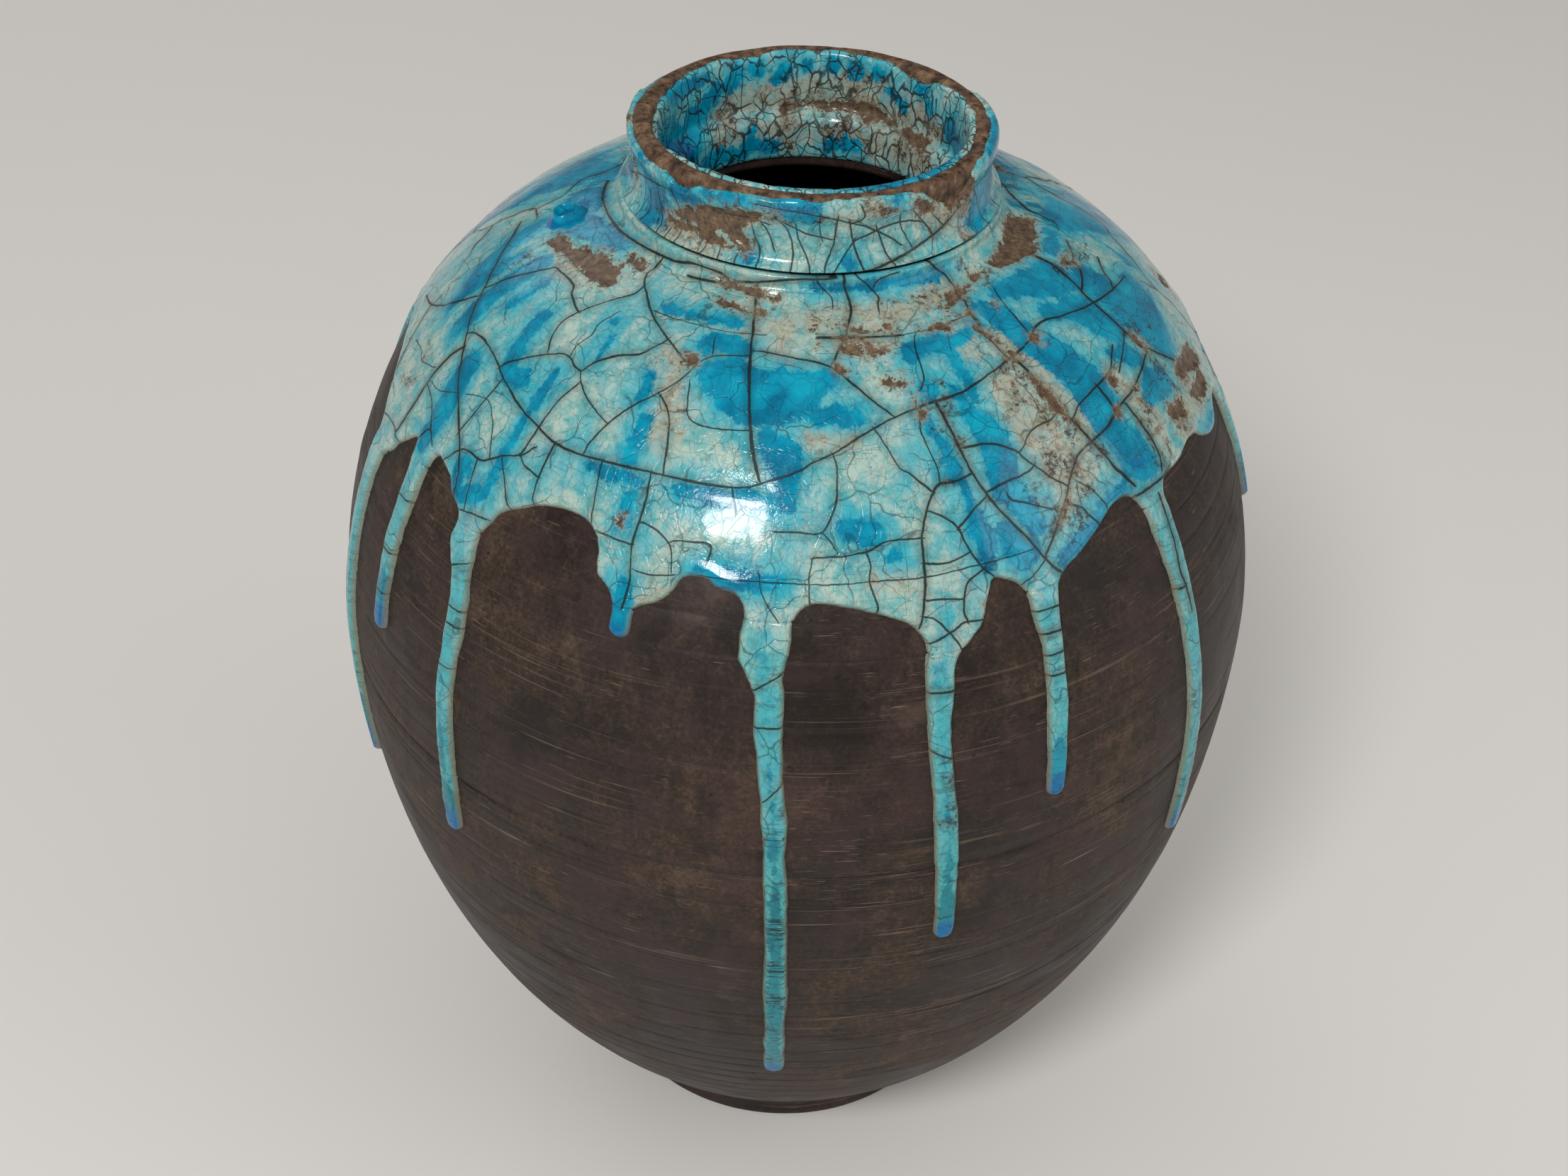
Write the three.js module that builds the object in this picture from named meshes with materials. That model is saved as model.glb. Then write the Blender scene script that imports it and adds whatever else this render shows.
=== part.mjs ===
// A shouldered storage jar: two thrown halves luted at the belly, a collar neck with a rolled lip,
// and a thick glaze over neck and shoulder whose hem hangs in scallops and lets long runs down the body.
// Millimetres, +Z up. The jar stands on Z = 0, its axis is Z and its front is -Y.
import * as THREE from "three";

// Body
const footRadius = 61;
const footHeight = 6;
const footRingWidth = 14; // the ring that the jar stands on
const footHollow = 2; // how far the base is scraped up inside that ring
const footChamfer = 1;
const bellyRadius = 140;
const bellyHeight = 198;
const shoulderHeight = 319.3; // where the shoulder starts to turn up into the neck
const wall = 7;
const floorThickness = 11;
const floorFillet = 6; // between the floor and the wall

// Fullness of the body's curve: lengths of its handles
const footHandle = 12;
const lowerHandle = 134;
const upperHandle = 34.5;
const shoulderReach = 62.6;
const shoulderDip = 15.1;

// Luted joints
const jointGap = 0.35;
const bellyJointHeight = 190;
const bellyJointSlope = 4; // the lower rim is bevelled, its inner edge higher
const seatSlope = 2.4; // the collar's seat rises towards its inner edge

// Collar neck
const neckRadius = 49.7;
const neckHeight = 21; // from the seat to the rim
const neckWall = 5.9;
const lipSwell = 1.2; // how far the rolled lip stands out from the neck
const lipWidth = 6.2;
const lipRoll = 8; // height of the stretch that swells into the lip
const lipRounding = 1.1;
const collarSpread = 2.7; // how far the collar's foot spreads out on its seat
const collarFlare = 6; // height of that spread
const filletReach = 6.6; // the shoulder's turn up into the seat, outwards and upwards
const filletRise = 7.7;
const ledgeWidth = 3.4; // the shoulder's hole is smaller than the neck's bore by this
const ledgeRounding = 3;

// Glaze
const coatThickness = 1.2;
const hemEdge = 0.4; // how thin the glaze is right at its edge
const hemRounding = 4;
const runThickness = 1.9;
const liningThickness = 1;
const liningLift = 3.6; // the lining ends this far above the lower edge of the shoulder's hole
const lipBare = 3.4; // the lip is bare this far down, and the glaze thins out just below
const lipThinning = 1.2;
const liningBare = 5.4; // the same inside the lip

// A drop of glaze that fell from the kiln's roof, with the pit that a burst bubble left in it.
// Its reach is how far out from the foot of the shoulder's turn it lies.
const drop = { azimuth: -83, reach: 9.5, length: 13, width: 8.5, height: 4, pit: 1.5 };

// Facets. The chords of a glaze layer sag towards the clay by these shares of the gap at the most.
const turns = 40;
const outsideSteps = 10;
const insideSteps = 7;
const filletSteps = 2;
const dropTurns = 16;
const acrossSag = 0.32;
const downSag = 0.62;

// What follows from the values above
const seatHeight = shoulderHeight + filletRise;
const rimHeight = seatHeight + neckHeight;
const seatRadius = neckRadius + collarSpread; // outer edge of the seat that carries the collar
const shoulderRadius = seatRadius + filletReach;
const boreRadius = neckRadius - neckWall;
const holeRadius = boreRadius - ledgeWidth;
const lipRadius = neckRadius + lipSwell;
const floorHeight = footHollow + floorThickness;
const holeEdge = shoulderHeight - wall;

// Glaze runs, round the jar from the left of the front. A station is its drop below the collar's seat,
// its azimuth in degrees from the front and its width. The hem after a run goes on to the next run.
const runs = [
  {
    name: "run_far_left",
    stations: [[60.5, -70.3, 18], [67.5, -72, 10.4], [77, -72, 8.2], [97, -71.8, 7], [175, -69.5, 7]],
    hemAfter: [[-64, 57.5], [-62, 53.6]],
  },
  {
    name: "run_left",
    stations: [[55, -59.4, 8.4], [70, -59.3, 7.8], [100, -59, 6.6], [109, -58.7, 6.8]],
    hemAfter: [[-56.6, 52.4], [-53.9, 53.3], [-51.5, 55.8], [-50, 58.8], [-48.3, 59]],
  },
  {
    name: "run_left_centre",
    stations: [[59.5, -45.4, 9.6], [66, -45.6, 9.6], [73, -44.5, 7.2], [85, -43.6, 7.6], [107, -43.9, 6.4],
      [159, -43.5, 6.6]],
    hemAfter: [[-42, 55.5], [-38.7, 50.8], [-34.9, 48], [-30, 47.2], [-26.2, 49.2], [-25.2, 57.6], [-23.4, 58.4]],
  },
  {
    name: "run_short",
    stations: [[58.8, -21.2, 6.6], [64, -21.1, 6.4], [72, -21, 5.8]],
    hemAfter: [[-19, 57.8], [-15.8, 54.5], [-12.4, 53.6], [-9.1, 55.3], [-6.8, 57]],
  },
  {
    name: "run_centre",
    stations: [[59.5, -3.2, 11.4], [67, -3.4, 14.2], [78, -3.2, 8.8], [95, -2.5, 7.4], [117, -1.3, 6.8],
      [145, -1, 6.6], [185, -0.7, 7.4], [235, -0.6, 6.6]],
    hemAfter: [[0.6, 58.3], [3.6, 57.5], [8, 58.6], [11.5, 60.8], [14.6, 65]],
  },
  {
    name: "run_right_centre",
    stations: [[69, 18, 9.6], [77, 17.2, 8.7], [90, 16.9, 7.2], [107, 17.3, 6.4], [165.5, 18.8, 5.8]],
    hemAfter: [[21.4, 68], [22.9, 66.6], [24, 61.5], [25, 57.6], [27.4, 58.8]],
  },
  {
    name: "run_right",
    stations: [[60, 31.7, 10.6], [65, 31.4, 9.2], [74, 31.7, 8.2], [92, 31.7, 7], [121, 31.3, 6]],
    hemAfter: [[37.5, 57], [40.9, 54.2], [44.2, 50.3], [48.4, 49.7]],
  },
  {
    name: "run_far_right",
    stations: [[53.5, 53, 10.6], [62, 53.3, 10], [72, 53.9, 8.6], [92, 54.5, 7.2], [172, 57, 6.6]],
    hemAfter: [[59, 51.7], [66, 51], [70.5, 52.4], [75.5, 57], [80, 56], [84, 54]],
  },
  {
    name: "run_back_1",
    stations: [[60, 88, 9.4], [68, 87.6, 7.8], [98, 88.4, 6.4]],
    hemAfter: [[93, 53], [100, 48], [107.5, 51.5]],
  },
  {
    name: "run_back_2",
    stations: [[61, 113, 11], [70, 113.6, 8.4], [110, 113.2, 6.8], [186, 114.6, 6.4]],
    hemAfter: [[118, 56], [125.5, 49.5], [134.2, 54]],
  },
  {
    name: "run_back_3",
    stations: [[62, 138.6, 9], [71, 138, 7.4], [128, 139, 6.4]],
    hemAfter: [[143, 58], [147.4, 60.4], [152, 54], [162, 50], [171.5, 54.5]],
  },
  {
    name: "run_back_4",
    stations: [[63, 177, 12], [71, 177.6, 9], [90, 178.4, 7], [214, 179, 6.8]],
    hemAfter: [[182.4, 57], [190, 50], [199, 53.6]],
  },
  {
    name: "run_back_5",
    stations: [[60.5, 203.4, 8.6], [70, 203, 7], [118, 203.4, 6.4]],
    hemAfter: [[207.6, 55], [216, 48.6], [224.8, 54.6]],
  },
  {
    name: "run_back_6",
    stations: [[64, 229.4, 11], [73, 229, 8], [165, 230, 6.6]],
    hemAfter: [[234.2, 57], [243, 49.4], [252, 53]],
  },
  {
    name: "run_back_7",
    stations: [[59, 256.4, 8.2], [68, 256, 7], [92, 256.2, 6.6]],
    hemAfter: [[260.4, 53.6], [267, 48.6], [277, 51.6], [282.3, 58]],
  },
];

// A run's rounded tip: heights above its end, each with the width there, both as shares of the run's width
const tipShape = [[0.55, 1], [0.25, 0.86], [0, 0.34]];
const tipThickness = 0.55; // of the run's, at its very end
const sectionPoints = [-1, -0.6, 0, 0.6, 1]; // across a run, from edge to edge

const clay = () => new THREE.MeshStandardMaterial({ color: 0x4a3d35, roughness: 0.62, metalness: 0 });
const glaze = (color) => new THREE.MeshStandardMaterial({ color, roughness: 0.2, metalness: 0 });
const turquoise = 0x39a9b8;
const deepBlue = 0x14508f;

const vec = (r, z) => new THREE.Vector2(r, z);
const { lerp, degToRad, radToDeg, clamp } = THREE.MathUtils;

// The body's outer line, from the foot to the collar's seat
const outline = new THREE.CurvePath();
outline.add(new THREE.CubicBezierCurve(
  vec(footRadius, footHeight),
  vec(footRadius, footHeight + footHandle),
  vec(bellyRadius, bellyHeight - lowerHandle),
  vec(bellyRadius, bellyHeight),
));
outline.add(new THREE.CubicBezierCurve(
  vec(bellyRadius, bellyHeight),
  vec(bellyRadius, bellyHeight + upperHandle),
  vec(shoulderRadius + shoulderReach, shoulderHeight - shoulderDip),
  vec(shoulderRadius, shoulderHeight),
));
outline.add(new THREE.QuadraticBezierCurve(
  vec(shoulderRadius, shoulderHeight),
  vec(seatRadius + 0.06 * filletReach, shoulderHeight + 0.2 * filletRise),
  vec(seatRadius, seatHeight),
));
const outlineLength = outline.getLength();

// How far along the outline a height is, from 0 at the foot to 1 at the seat
function along(height) {
  let low = 0;
  let high = 1;
  for (let i = 0; i < 26; i++) {
    const middle = (low + high) / 2;
    if (outline.getPoint(middle).y < height) low = middle;
    else high = middle;
  }
  return (low + high) / 2;
}

// The outline's point there, moved out along its normal
function outlinePoint(t, lift) {
  const nearby = 0.001;
  const at = clamp(t, nearby, 1 - nearby);
  const tangent = outline.getPoint(at + nearby).sub(outline.getPoint(at - nearby)).normalize();
  return outline.getPoint(t).add(vec(tangent.y * lift, -tangent.x * lift));
}

// A stretch of the outline between two heights, moved out or, with a negative lift, in
function stretch(fromHeight, toHeight, lift, steps) {
  const from = along(fromHeight);
  const to = along(toHeight);
  return Array.from({ length: steps + 1 }, (_, i) => outlinePoint(lerp(from, to, i / steps), lift));
}

// How deep the chord between two places on the outline cuts inside it
function chordSag(from, to) {
  const start = outline.getPoint(from);
  const chord = outline.getPoint(to).sub(start);
  const middle = outline.getPoint((from + to) / 2).sub(start);
  return Math.abs(chord.cross(middle)) / chord.length();
}

// The fewest even steps between two places whose chords sag no more than a glaze layer's may
function glazeSteps(from, to) {
  const sagsTooDeep = (steps) => Array.from({ length: steps }, (_, i) => i / steps)
    .some((share) => chordSag(lerp(from, to, share), lerp(from, to, share + 1 / steps)) > downSag * jointGap);
  let steps = 1;
  while (sagsTooDeep(steps)) steps += 1;
  return steps;
}

// A point on the jar, at an azimuth from the front
function around(point, azimuth) {
  const a = degToRad(azimuth);
  return [point.x * Math.sin(a), -point.x * Math.cos(a), point.y];
}

// A profile in radius and height, turned about Z
function turned(profile) {
  return new THREE.LatheGeometry(profile, turns).rotateX(Math.PI / 2);
}

// Each point of a line moved along the line's own normal
function moved(line, distance) {
  return line.map((p, i) => {
    const tangent = line[Math.min(i + 1, line.length - 1)].clone().sub(line[Math.max(i - 1, 0)]).normalize();
    return vec(p.x + tangent.y * distance, p.y - tangent.x * distance);
  });
}

// A line whose two ends are drawn back along it
function drawnBack(line, byStart, byEnd) {
  const back = (end, next, distance) => end.clone().lerp(next, distance / end.distanceTo(next));
  return [back(line[0], line[1], byStart), ...line.slice(1, -1), back(line.at(-1), line.at(-2), byEnd)];
}

// A thin solid between an outer and an inner grid of points, closed along its edges
function shell(rows, columns, wraps, pointAt) {
  const positions = [];
  for (const side of [1, 0])
    for (let row = 0; row < rows; row++)
      for (let column = 0; column < columns; column++) positions.push(...pointAt(side, row, column));
  const vertex = (side, row, column) => (1 - side) * rows * columns + row * columns + (column % columns);
  const index = [];
  const quad = (a, b, c, d) => index.push(a, b, c, a, c, d);
  const lastColumn = wraps ? columns : columns - 1;
  for (let c = 0; c < lastColumn; c++) {
    for (let r = 0; r < rows - 1; r++) {
      quad(vertex(1, r, c), vertex(1, r + 1, c), vertex(1, r + 1, c + 1), vertex(1, r, c + 1));
      quad(vertex(0, r, c), vertex(0, r, c + 1), vertex(0, r + 1, c + 1), vertex(0, r + 1, c));
    }
    const end = rows - 1;
    quad(vertex(1, 0, c), vertex(1, 0, c + 1), vertex(0, 0, c + 1), vertex(0, 0, c));
    quad(vertex(1, end, c + 1), vertex(1, end, c), vertex(0, end, c), vertex(0, end, c + 1));
  }
  for (let r = 0; r < rows - 1 && !wraps; r++) {
    quad(vertex(1, r + 1, 0), vertex(1, r, 0), vertex(0, r, 0), vertex(0, r + 1, 0));
    quad(vertex(1, r, columns - 1), vertex(1, r + 1, columns - 1), vertex(0, r + 1, columns - 1),
      vertex(0, r, columns - 1));
  }
  const geometry = new THREE.BufferGeometry();
  geometry.setAttribute("position", new THREE.Float32BufferAttribute(positions, 3));
  geometry.setIndex(index);
  return geometry;
}

// Height of the seat's sloping face at a radius, lowest at its outer edge
function seatAt(radius) {
  return seatHeight + (seatSlope * (seatRadius - radius)) / (seatRadius - boreRadius);
}

// The inside of the neck, from under the lip down to the shoulder's ledge
const boreLine = [
  vec(lipRadius - lipWidth, rimHeight - lipRounding),
  vec(boreRadius, rimHeight - lipRoll),
  vec(boreRadius, seatAt(boreRadius) + jointGap),
];

// The shoulder's hole, from the ledge's corner down to the inside of the jar
const holeLine = [
  vec(boreRadius, seatAt(boreRadius)),
  vec(holeRadius + ledgeRounding * 0.3, seatAt(boreRadius) - ledgeRounding * 0.25),
  vec(holeRadius, seatAt(boreRadius) - ledgeRounding),
  vec(holeRadius, holeEdge + lipRounding),
  vec(holeRadius + lipRounding, holeEdge),
];

// The outside of the collar, from its foot to the lip
const collarLine = [
  vec(seatRadius, seatHeight + jointGap),
  vec(neckRadius + collarSpread / 3, seatHeight + jointGap + collarFlare * 0.43),
  vec(neckRadius, seatHeight + jointGap + collarFlare),
  vec(neckRadius, rimHeight - lipRoll),
  vec(lipRadius, rimHeight - lipBare),
];

// The lower half: the foot ring, the wall up to its bevelled rim, and the inside down to the floor
function lowerBody() {
  const floorEdge = footRadius - wall;
  return turned([
    vec(0, footHollow),
    vec(footRadius - footRingWidth - footChamfer, footHollow),
    vec(footRadius - footRingWidth, 0),
    vec(footRadius - footChamfer, 0),
    vec(footRadius, footChamfer),
    ...stretch(footHeight, bellyJointHeight, 0, outsideSteps),
    ...stretch(bellyJointHeight + bellyJointSlope, floorHeight, -wall, insideSteps),
    vec(floorEdge, floorHeight + floorFillet / 6),
    vec(floorEdge - floorFillet, floorHeight),
    vec(0, floorHeight),
  ]);
}

// The upper half, luted on the lower rim, with the collar's seat round its hole
function upperBody() {
  const outside = [
    ...stretch(bellyJointHeight + jointGap, shoulderHeight, 0, outsideSteps),
    ...stretch(shoulderHeight, seatHeight, 0, filletSteps).slice(1),
  ];
  const inside = stretch(shoulderHeight, bellyJointHeight + bellyJointSlope + jointGap, -wall, insideSteps);
  return turned([...outside, ...holeLine, ...inside, outside[0].clone()]);
}

// The collar: a foot on the seat, a straight neck and a rolled lip
function neckCollar() {
  const lip = [
    vec(lipRadius - lipRounding / 2, rimHeight - lipRounding),
    vec(lipRadius - lipWidth / 2, rimHeight),
  ];
  return turned([...boreLine, ...collarLine, ...lip, boreLine[0].clone()]);
}

// A turned glaze layer on a line that has the pot on its left
function layer(line, thickness) {
  const near = moved(line, jointGap);
  const far = moved(line, jointGap + thickness);
  for (const end of [0, line.length - 1]) far[end] = near[end].clone().lerp(far[end], hemEdge / thickness);
  return turned([...far, ...near.reverse(), far[0].clone()]);
}

// How far along the outline a run's drop below the seat is
const alongDrop = (fall) => along(seatHeight - fall);

// Half of a width on the jar, in degrees, at a place on the outline
function halfAngle(width, t) {
  return radToDeg(width / 2 / outline.getPoint(t).x);
}

// The hem's corners round the jar: the two edges of each run's root, and the chosen points between
function hemCorners() {
  return runs.flatMap((run) => {
    const [fall, azimuth, width] = run.stations[0];
    const half = halfAngle(width, alongDrop(fall));
    return [
      { azimuth: azimuth - half, fall, root: 1 },
      { azimuth: azimuth + half, fall, root: 1 },
      ...run.hemAfter.map(([at, hemFall]) => ({ azimuth: at, fall: hemFall, root: 0 })),
    ];
  });
}

// Columns of the coat: every corner, and even steps where two corners lie far apart
function coatColumns() {
  const widestStep = 2 * radToDeg(Math.acos(1 - (acrossSag * jointGap) / bellyRadius));
  const corners = hemCorners();
  return corners.flatMap((corner, i) => {
    const next = corners[(i + 1) % corners.length];
    const span = (next.azimuth - corner.azimuth + 720) % 360;
    const steps = Math.ceil(span / widestStep);
    return Array.from({ length: steps }, (_, k) => ({
      azimuth: corner.azimuth + (span * k) / steps,
      fall: lerp(corner.fall, next.fall, k / steps),
      root: k === 0 ? corner.root : corner.root * next.root,
    }));
  });
}

// The glaze over the shoulder: thin at the hem, but full where a run has parted from it along a crack
function shoulderCoat() {
  const gap = jointGap / outlineLength;
  const fillet = along(shoulderHeight);
  const columns = coatColumns().map((column) => ({ ...column, hem: alongDrop(column.fall) + gap }));
  const lowest = Math.min(...columns.map((column) => column.hem));
  const steps = glazeSteps(fillet, lowest);
  const nearHem = 1 - hemRounding / 3 / ((fillet - lowest) * outlineLength);
  const shares = [...Array.from({ length: steps }, (_, k) => k / steps), nearHem, 1];
  return shell(filletSteps + shares.length, columns.length, true, (side, row, c) => {
    const { azimuth, hem, root } = columns[c];
    const t = row < filletSteps
      ? lerp(1 - gap, fillet, row / filletSteps)
      : lerp(fillet, hem, shares[row - filletSteps]);
    const fromHem = Math.min(1, ((t - hem) * outlineLength) / hemRounding);
    const rounding = Math.sqrt(1 - (1 - fromHem) ** 2);
    const thickness = row === 0 ? hemEdge : lerp(hemEdge, coatThickness, Math.max(rounding, root));
    return around(outlinePoint(t, jointGap + side * thickness), azimuth);
  });
}

// One run: a bead that follows its stations down the body and ends in a rounded tip
function glazeRun(run) {
  const places = run.stations.map(([fall, azimuth, width]) => ({ fall, azimuth, width }));
  const end = places.at(-1);
  const tip = tipShape.map(([rise, share]) => ({ ...end, fall: end.fall - rise * end.width, width: share * end.width }));
  places.splice(-1, 1, tip[0]);
  const rows = places.slice(0, -1).flatMap((place, i) => {
    const next = places[i + 1];
    const steps = glazeSteps(alongDrop(place.fall), alongDrop(next.fall));
    return Array.from({ length: steps }, (_, k) => ({
      fall: lerp(place.fall, next.fall, k / steps),
      azimuth: lerp(place.azimuth, next.azimuth, k / steps),
      width: lerp(place.width, next.width, k / steps),
    }));
  });
  rows.push(...tip);
  return shell(rows.length, sectionPoints.length, false, (side, row, c) => {
    const { fall, azimuth, width } = rows[row];
    const t = alongDrop(fall);
    const crown = row === rows.length - 1 ? runThickness * tipThickness : runThickness;
    const thickness = Math.max(hemEdge, crown * Math.sqrt(1 - sectionPoints[c] ** 2));
    const place = azimuth + sectionPoints[c] * halfAngle(width, t);
    return around(outlinePoint(t, jointGap + side * thickness), place);
  });
}

// The fallen drop: a low dome with a pit
function kilnDrop() {
  const pitFloor = 1 - drop.pit / drop.height;
  const dome = [vec(0, 0), vec(1, 0), vec(0.96, 0.42), vec(0.72, 0.84), vec(0.42, 1)];
  const pit = [vec(0.2, pitFloor), vec(0, pitFloor)];
  return new THREE.LatheGeometry([...dome, ...pit], dropTurns)
    .rotateX(Math.PI / 2)
    .scale(drop.length / 2, drop.width / 2, drop.height);
}

// Stands a mesh on the coat, at an azimuth and a reach from the shoulder's turn
function layOnCoat(mesh, azimuth, reach) {
  let t = along(shoulderHeight);
  while (outline.getPoint(t).x < shoulderRadius + reach) t -= 0.5 / outlineLength;
  const lift = jointGap + coatThickness + jointGap;
  mesh.position.set(...around(outlinePoint(t, lift), azimuth));
  const normal = new THREE.Vector3(...around(outlinePoint(t, lift + 1), azimuth)).sub(mesh.position).normalize();
  mesh.quaternion.setFromUnitVectors(new THREE.Vector3(0, 0, 1), normal);
}

function piece(name, geometry, material) {
  const mesh = new THREE.Mesh(geometry, material);
  mesh.name = name;
  return mesh;
}

const body = new THREE.Group();
body.add(
  piece("lower_body", lowerBody(), clay()),
  piece("upper_body", upperBody(), clay()),
  piece("neck_collar", neckCollar(), clay()),
);

const coatLine = drawnBack(collarLine, jointGap, lipThinning);
const liningLine = drawnBack([...boreLine, ...holeLine.slice(1, 4)], liningBare - lipRounding, liningLift - lipRounding);
const coats = new THREE.Group();
coats.add(
  piece("shoulder_coat", shoulderCoat(), glaze(turquoise)),
  piece("neck_coat", layer(coatLine, coatThickness), glaze(turquoise)),
  piece("neck_lining", layer(liningLine, liningThickness), glaze(turquoise)),
);

const runGroup = new THREE.Group();
for (const run of runs) runGroup.add(piece(run.name, glazeRun(run), glaze(turquoise)));

const fallenDrop = piece("kiln_drop", kilnDrop(), glaze(deepBlue));
layOnCoat(fallenDrop, drop.azimuth, drop.reach);

const jar = new THREE.Group();
jar.add(body, coats, runGroup, fallenDrop);

export default jar;
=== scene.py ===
import math
import bpy
import numpy as np
from mathutils import Matrix, Vector


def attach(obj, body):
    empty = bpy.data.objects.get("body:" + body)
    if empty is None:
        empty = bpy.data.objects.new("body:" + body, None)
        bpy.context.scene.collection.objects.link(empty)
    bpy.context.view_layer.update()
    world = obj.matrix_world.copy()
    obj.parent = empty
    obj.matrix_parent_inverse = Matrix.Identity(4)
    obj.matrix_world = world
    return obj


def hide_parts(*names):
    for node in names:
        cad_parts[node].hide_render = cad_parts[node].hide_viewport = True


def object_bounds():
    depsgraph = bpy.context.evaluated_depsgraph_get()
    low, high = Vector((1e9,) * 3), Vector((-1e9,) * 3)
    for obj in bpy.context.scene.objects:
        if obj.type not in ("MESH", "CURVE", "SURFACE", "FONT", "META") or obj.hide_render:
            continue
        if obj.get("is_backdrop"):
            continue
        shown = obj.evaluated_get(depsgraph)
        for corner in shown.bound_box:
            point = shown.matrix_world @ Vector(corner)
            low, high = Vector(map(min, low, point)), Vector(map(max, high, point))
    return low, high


# A shouldered storage jar in smoke-stained clay, under a thick crackled turquoise glaze that ends
# in a scalloped hem and long runs. Lengths are millimetres until a mesh is made. Azimuths are degrees
# from the front (-Y), towards +X. An arc is a length along the outside, down from the collar's seat.
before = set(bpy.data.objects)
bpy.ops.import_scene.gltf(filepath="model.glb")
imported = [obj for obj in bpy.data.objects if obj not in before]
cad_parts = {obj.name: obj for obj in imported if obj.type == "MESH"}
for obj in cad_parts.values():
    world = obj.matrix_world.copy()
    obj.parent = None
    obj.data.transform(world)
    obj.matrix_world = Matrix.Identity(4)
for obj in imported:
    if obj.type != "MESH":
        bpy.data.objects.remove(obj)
cadLow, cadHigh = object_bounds()
mm = 0.001

# The body's outside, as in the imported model
jar = {
    "footRadius": 61, "footHeight": 6, "footHandle": 12,
    "bellyRadius": 140, "bellyHeight": 198, "lowerHandle": 134, "upperHandle": 34.5,
    "shoulderRadius": 59, "shoulderHeight": 319.3, "shoulderReach": 62.6, "shoulderDip": 15.1,
    "turnReach": 0.4, "turnRise": 1.54,    # the handle of the shoulder's turn up into the seat
    "seatRadius": 52.4, "seatHeight": 327,
    "wall": 7, "seamHeight": 190, "seamSlope": 4,
    "floorHeight": 13, "floorFillet": 6, "ringWidth": 14, "hollow": 2,
    "neckRadius": 49.7, "rimHeight": 348, "lipRadius": 50.9, "lipWidth": 6.2,
    "boreRadius": 43.8, "holeRadius": 40.4, "holeEdge": 312.3, "seatRise": 2.4,
    "skinDrop": 0.13,    # how far the clay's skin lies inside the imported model, for the lumps on it
}


def bezier(handles, steps):
    t = np.linspace(0, 1, steps + 1)[:, None]
    n = len(handles) - 1
    shares = [math.comb(n, k) * (1 - t) ** (n - k) * t ** k for k in range(n + 1)]
    return sum(share * np.array(p, float) for share, p in zip(shares, handles))


def throughPoints(points, steps, closed=False):
    # a smooth curve through chosen points
    p = np.array(points, float)
    if closed:
        p = np.vstack([p[-1] - [360, 0], p, p[0] + [360, 0], p[1] + [360, 0]])
    else:
        p = np.vstack([2 * p[0] - p[1], p, 2 * p[-1] - p[-2]])
    t = np.linspace(0, 1, steps, endpoint=False)[:, None]
    curve = [
        0.5 * (2 * b + (c - a) * t + (2 * a - 5 * b + 4 * c - d) * t ** 2
               + (3 * b - a - 3 * c + d) * t ** 3)
        for a, b, c, d in zip(p, p[1:], p[2:], p[3:])
    ]
    return np.vstack(curve + [p[-2:-1]])


class TurnedLine:
    # A line in radius and height that the wheel turns, read by the arc length from its start.
    # The pot's skin is on its left when it runs down the outside, or up the inside.
    def __init__(self, points):
        self.points = np.array(points, float)
        self.arcs = np.concatenate([[0], np.cumsum(np.linalg.norm(np.diff(self.points, axis=0), axis=1))])
        self.length = self.arcs[-1]
        tangent = np.gradient(self.points, self.arcs, axis=0)
        tangent /= np.linalg.norm(tangent, axis=1)[:, None]
        self.normals = np.stack([-tangent[:, 1], tangent[:, 0]], axis=1)

    def read(self, arc, column):
        source = np.hstack([self.points, self.normals])
        return np.interp(arc, self.arcs, source[:, column])

    def radius(self, arc):
        return self.read(arc, 0)

    def height(self, arc):
        return self.read(arc, 1)

    def arcAt(self, height):
        # only for a line that runs down all the way
        return np.interp(-np.asarray(height, float), -self.points[:, 1], self.arcs)

    def place(self, azimuth, arc, lift):
        # points in space, in millimetres
        turn = np.radians(azimuth)
        out = self.read(arc, 0) + self.read(arc, 2) * lift
        up = self.read(arc, 1) + self.read(arc, 3) * lift
        return np.stack([out * np.sin(turn), -out * np.cos(turn), up], axis=-1)


outside = TurnedLine(np.vstack([
    bezier([
        (jar["seatRadius"], jar["seatHeight"]),
        (jar["seatRadius"] + jar["turnReach"], jar["shoulderHeight"] + jar["turnRise"]),
        (jar["shoulderRadius"], jar["shoulderHeight"]),
    ], 40),
    bezier([
        (jar["shoulderRadius"], jar["shoulderHeight"]),
        (jar["shoulderRadius"] + jar["shoulderReach"], jar["shoulderHeight"] - jar["shoulderDip"]),
        (jar["bellyRadius"], jar["bellyHeight"] + jar["upperHandle"]),
        (jar["bellyRadius"], jar["bellyHeight"]),
    ], 500)[1:],
    bezier([
        (jar["bellyRadius"], jar["bellyHeight"]),
        (jar["bellyRadius"], jar["bellyHeight"] - jar["lowerHandle"]),
        (jar["footRadius"], jar["footHeight"] + jar["footHandle"]),
        (jar["footRadius"], jar["footHeight"]),
    ], 600)[1:],
]))
seamArc = float(outside.arcAt(jar["seamHeight"]))


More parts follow.
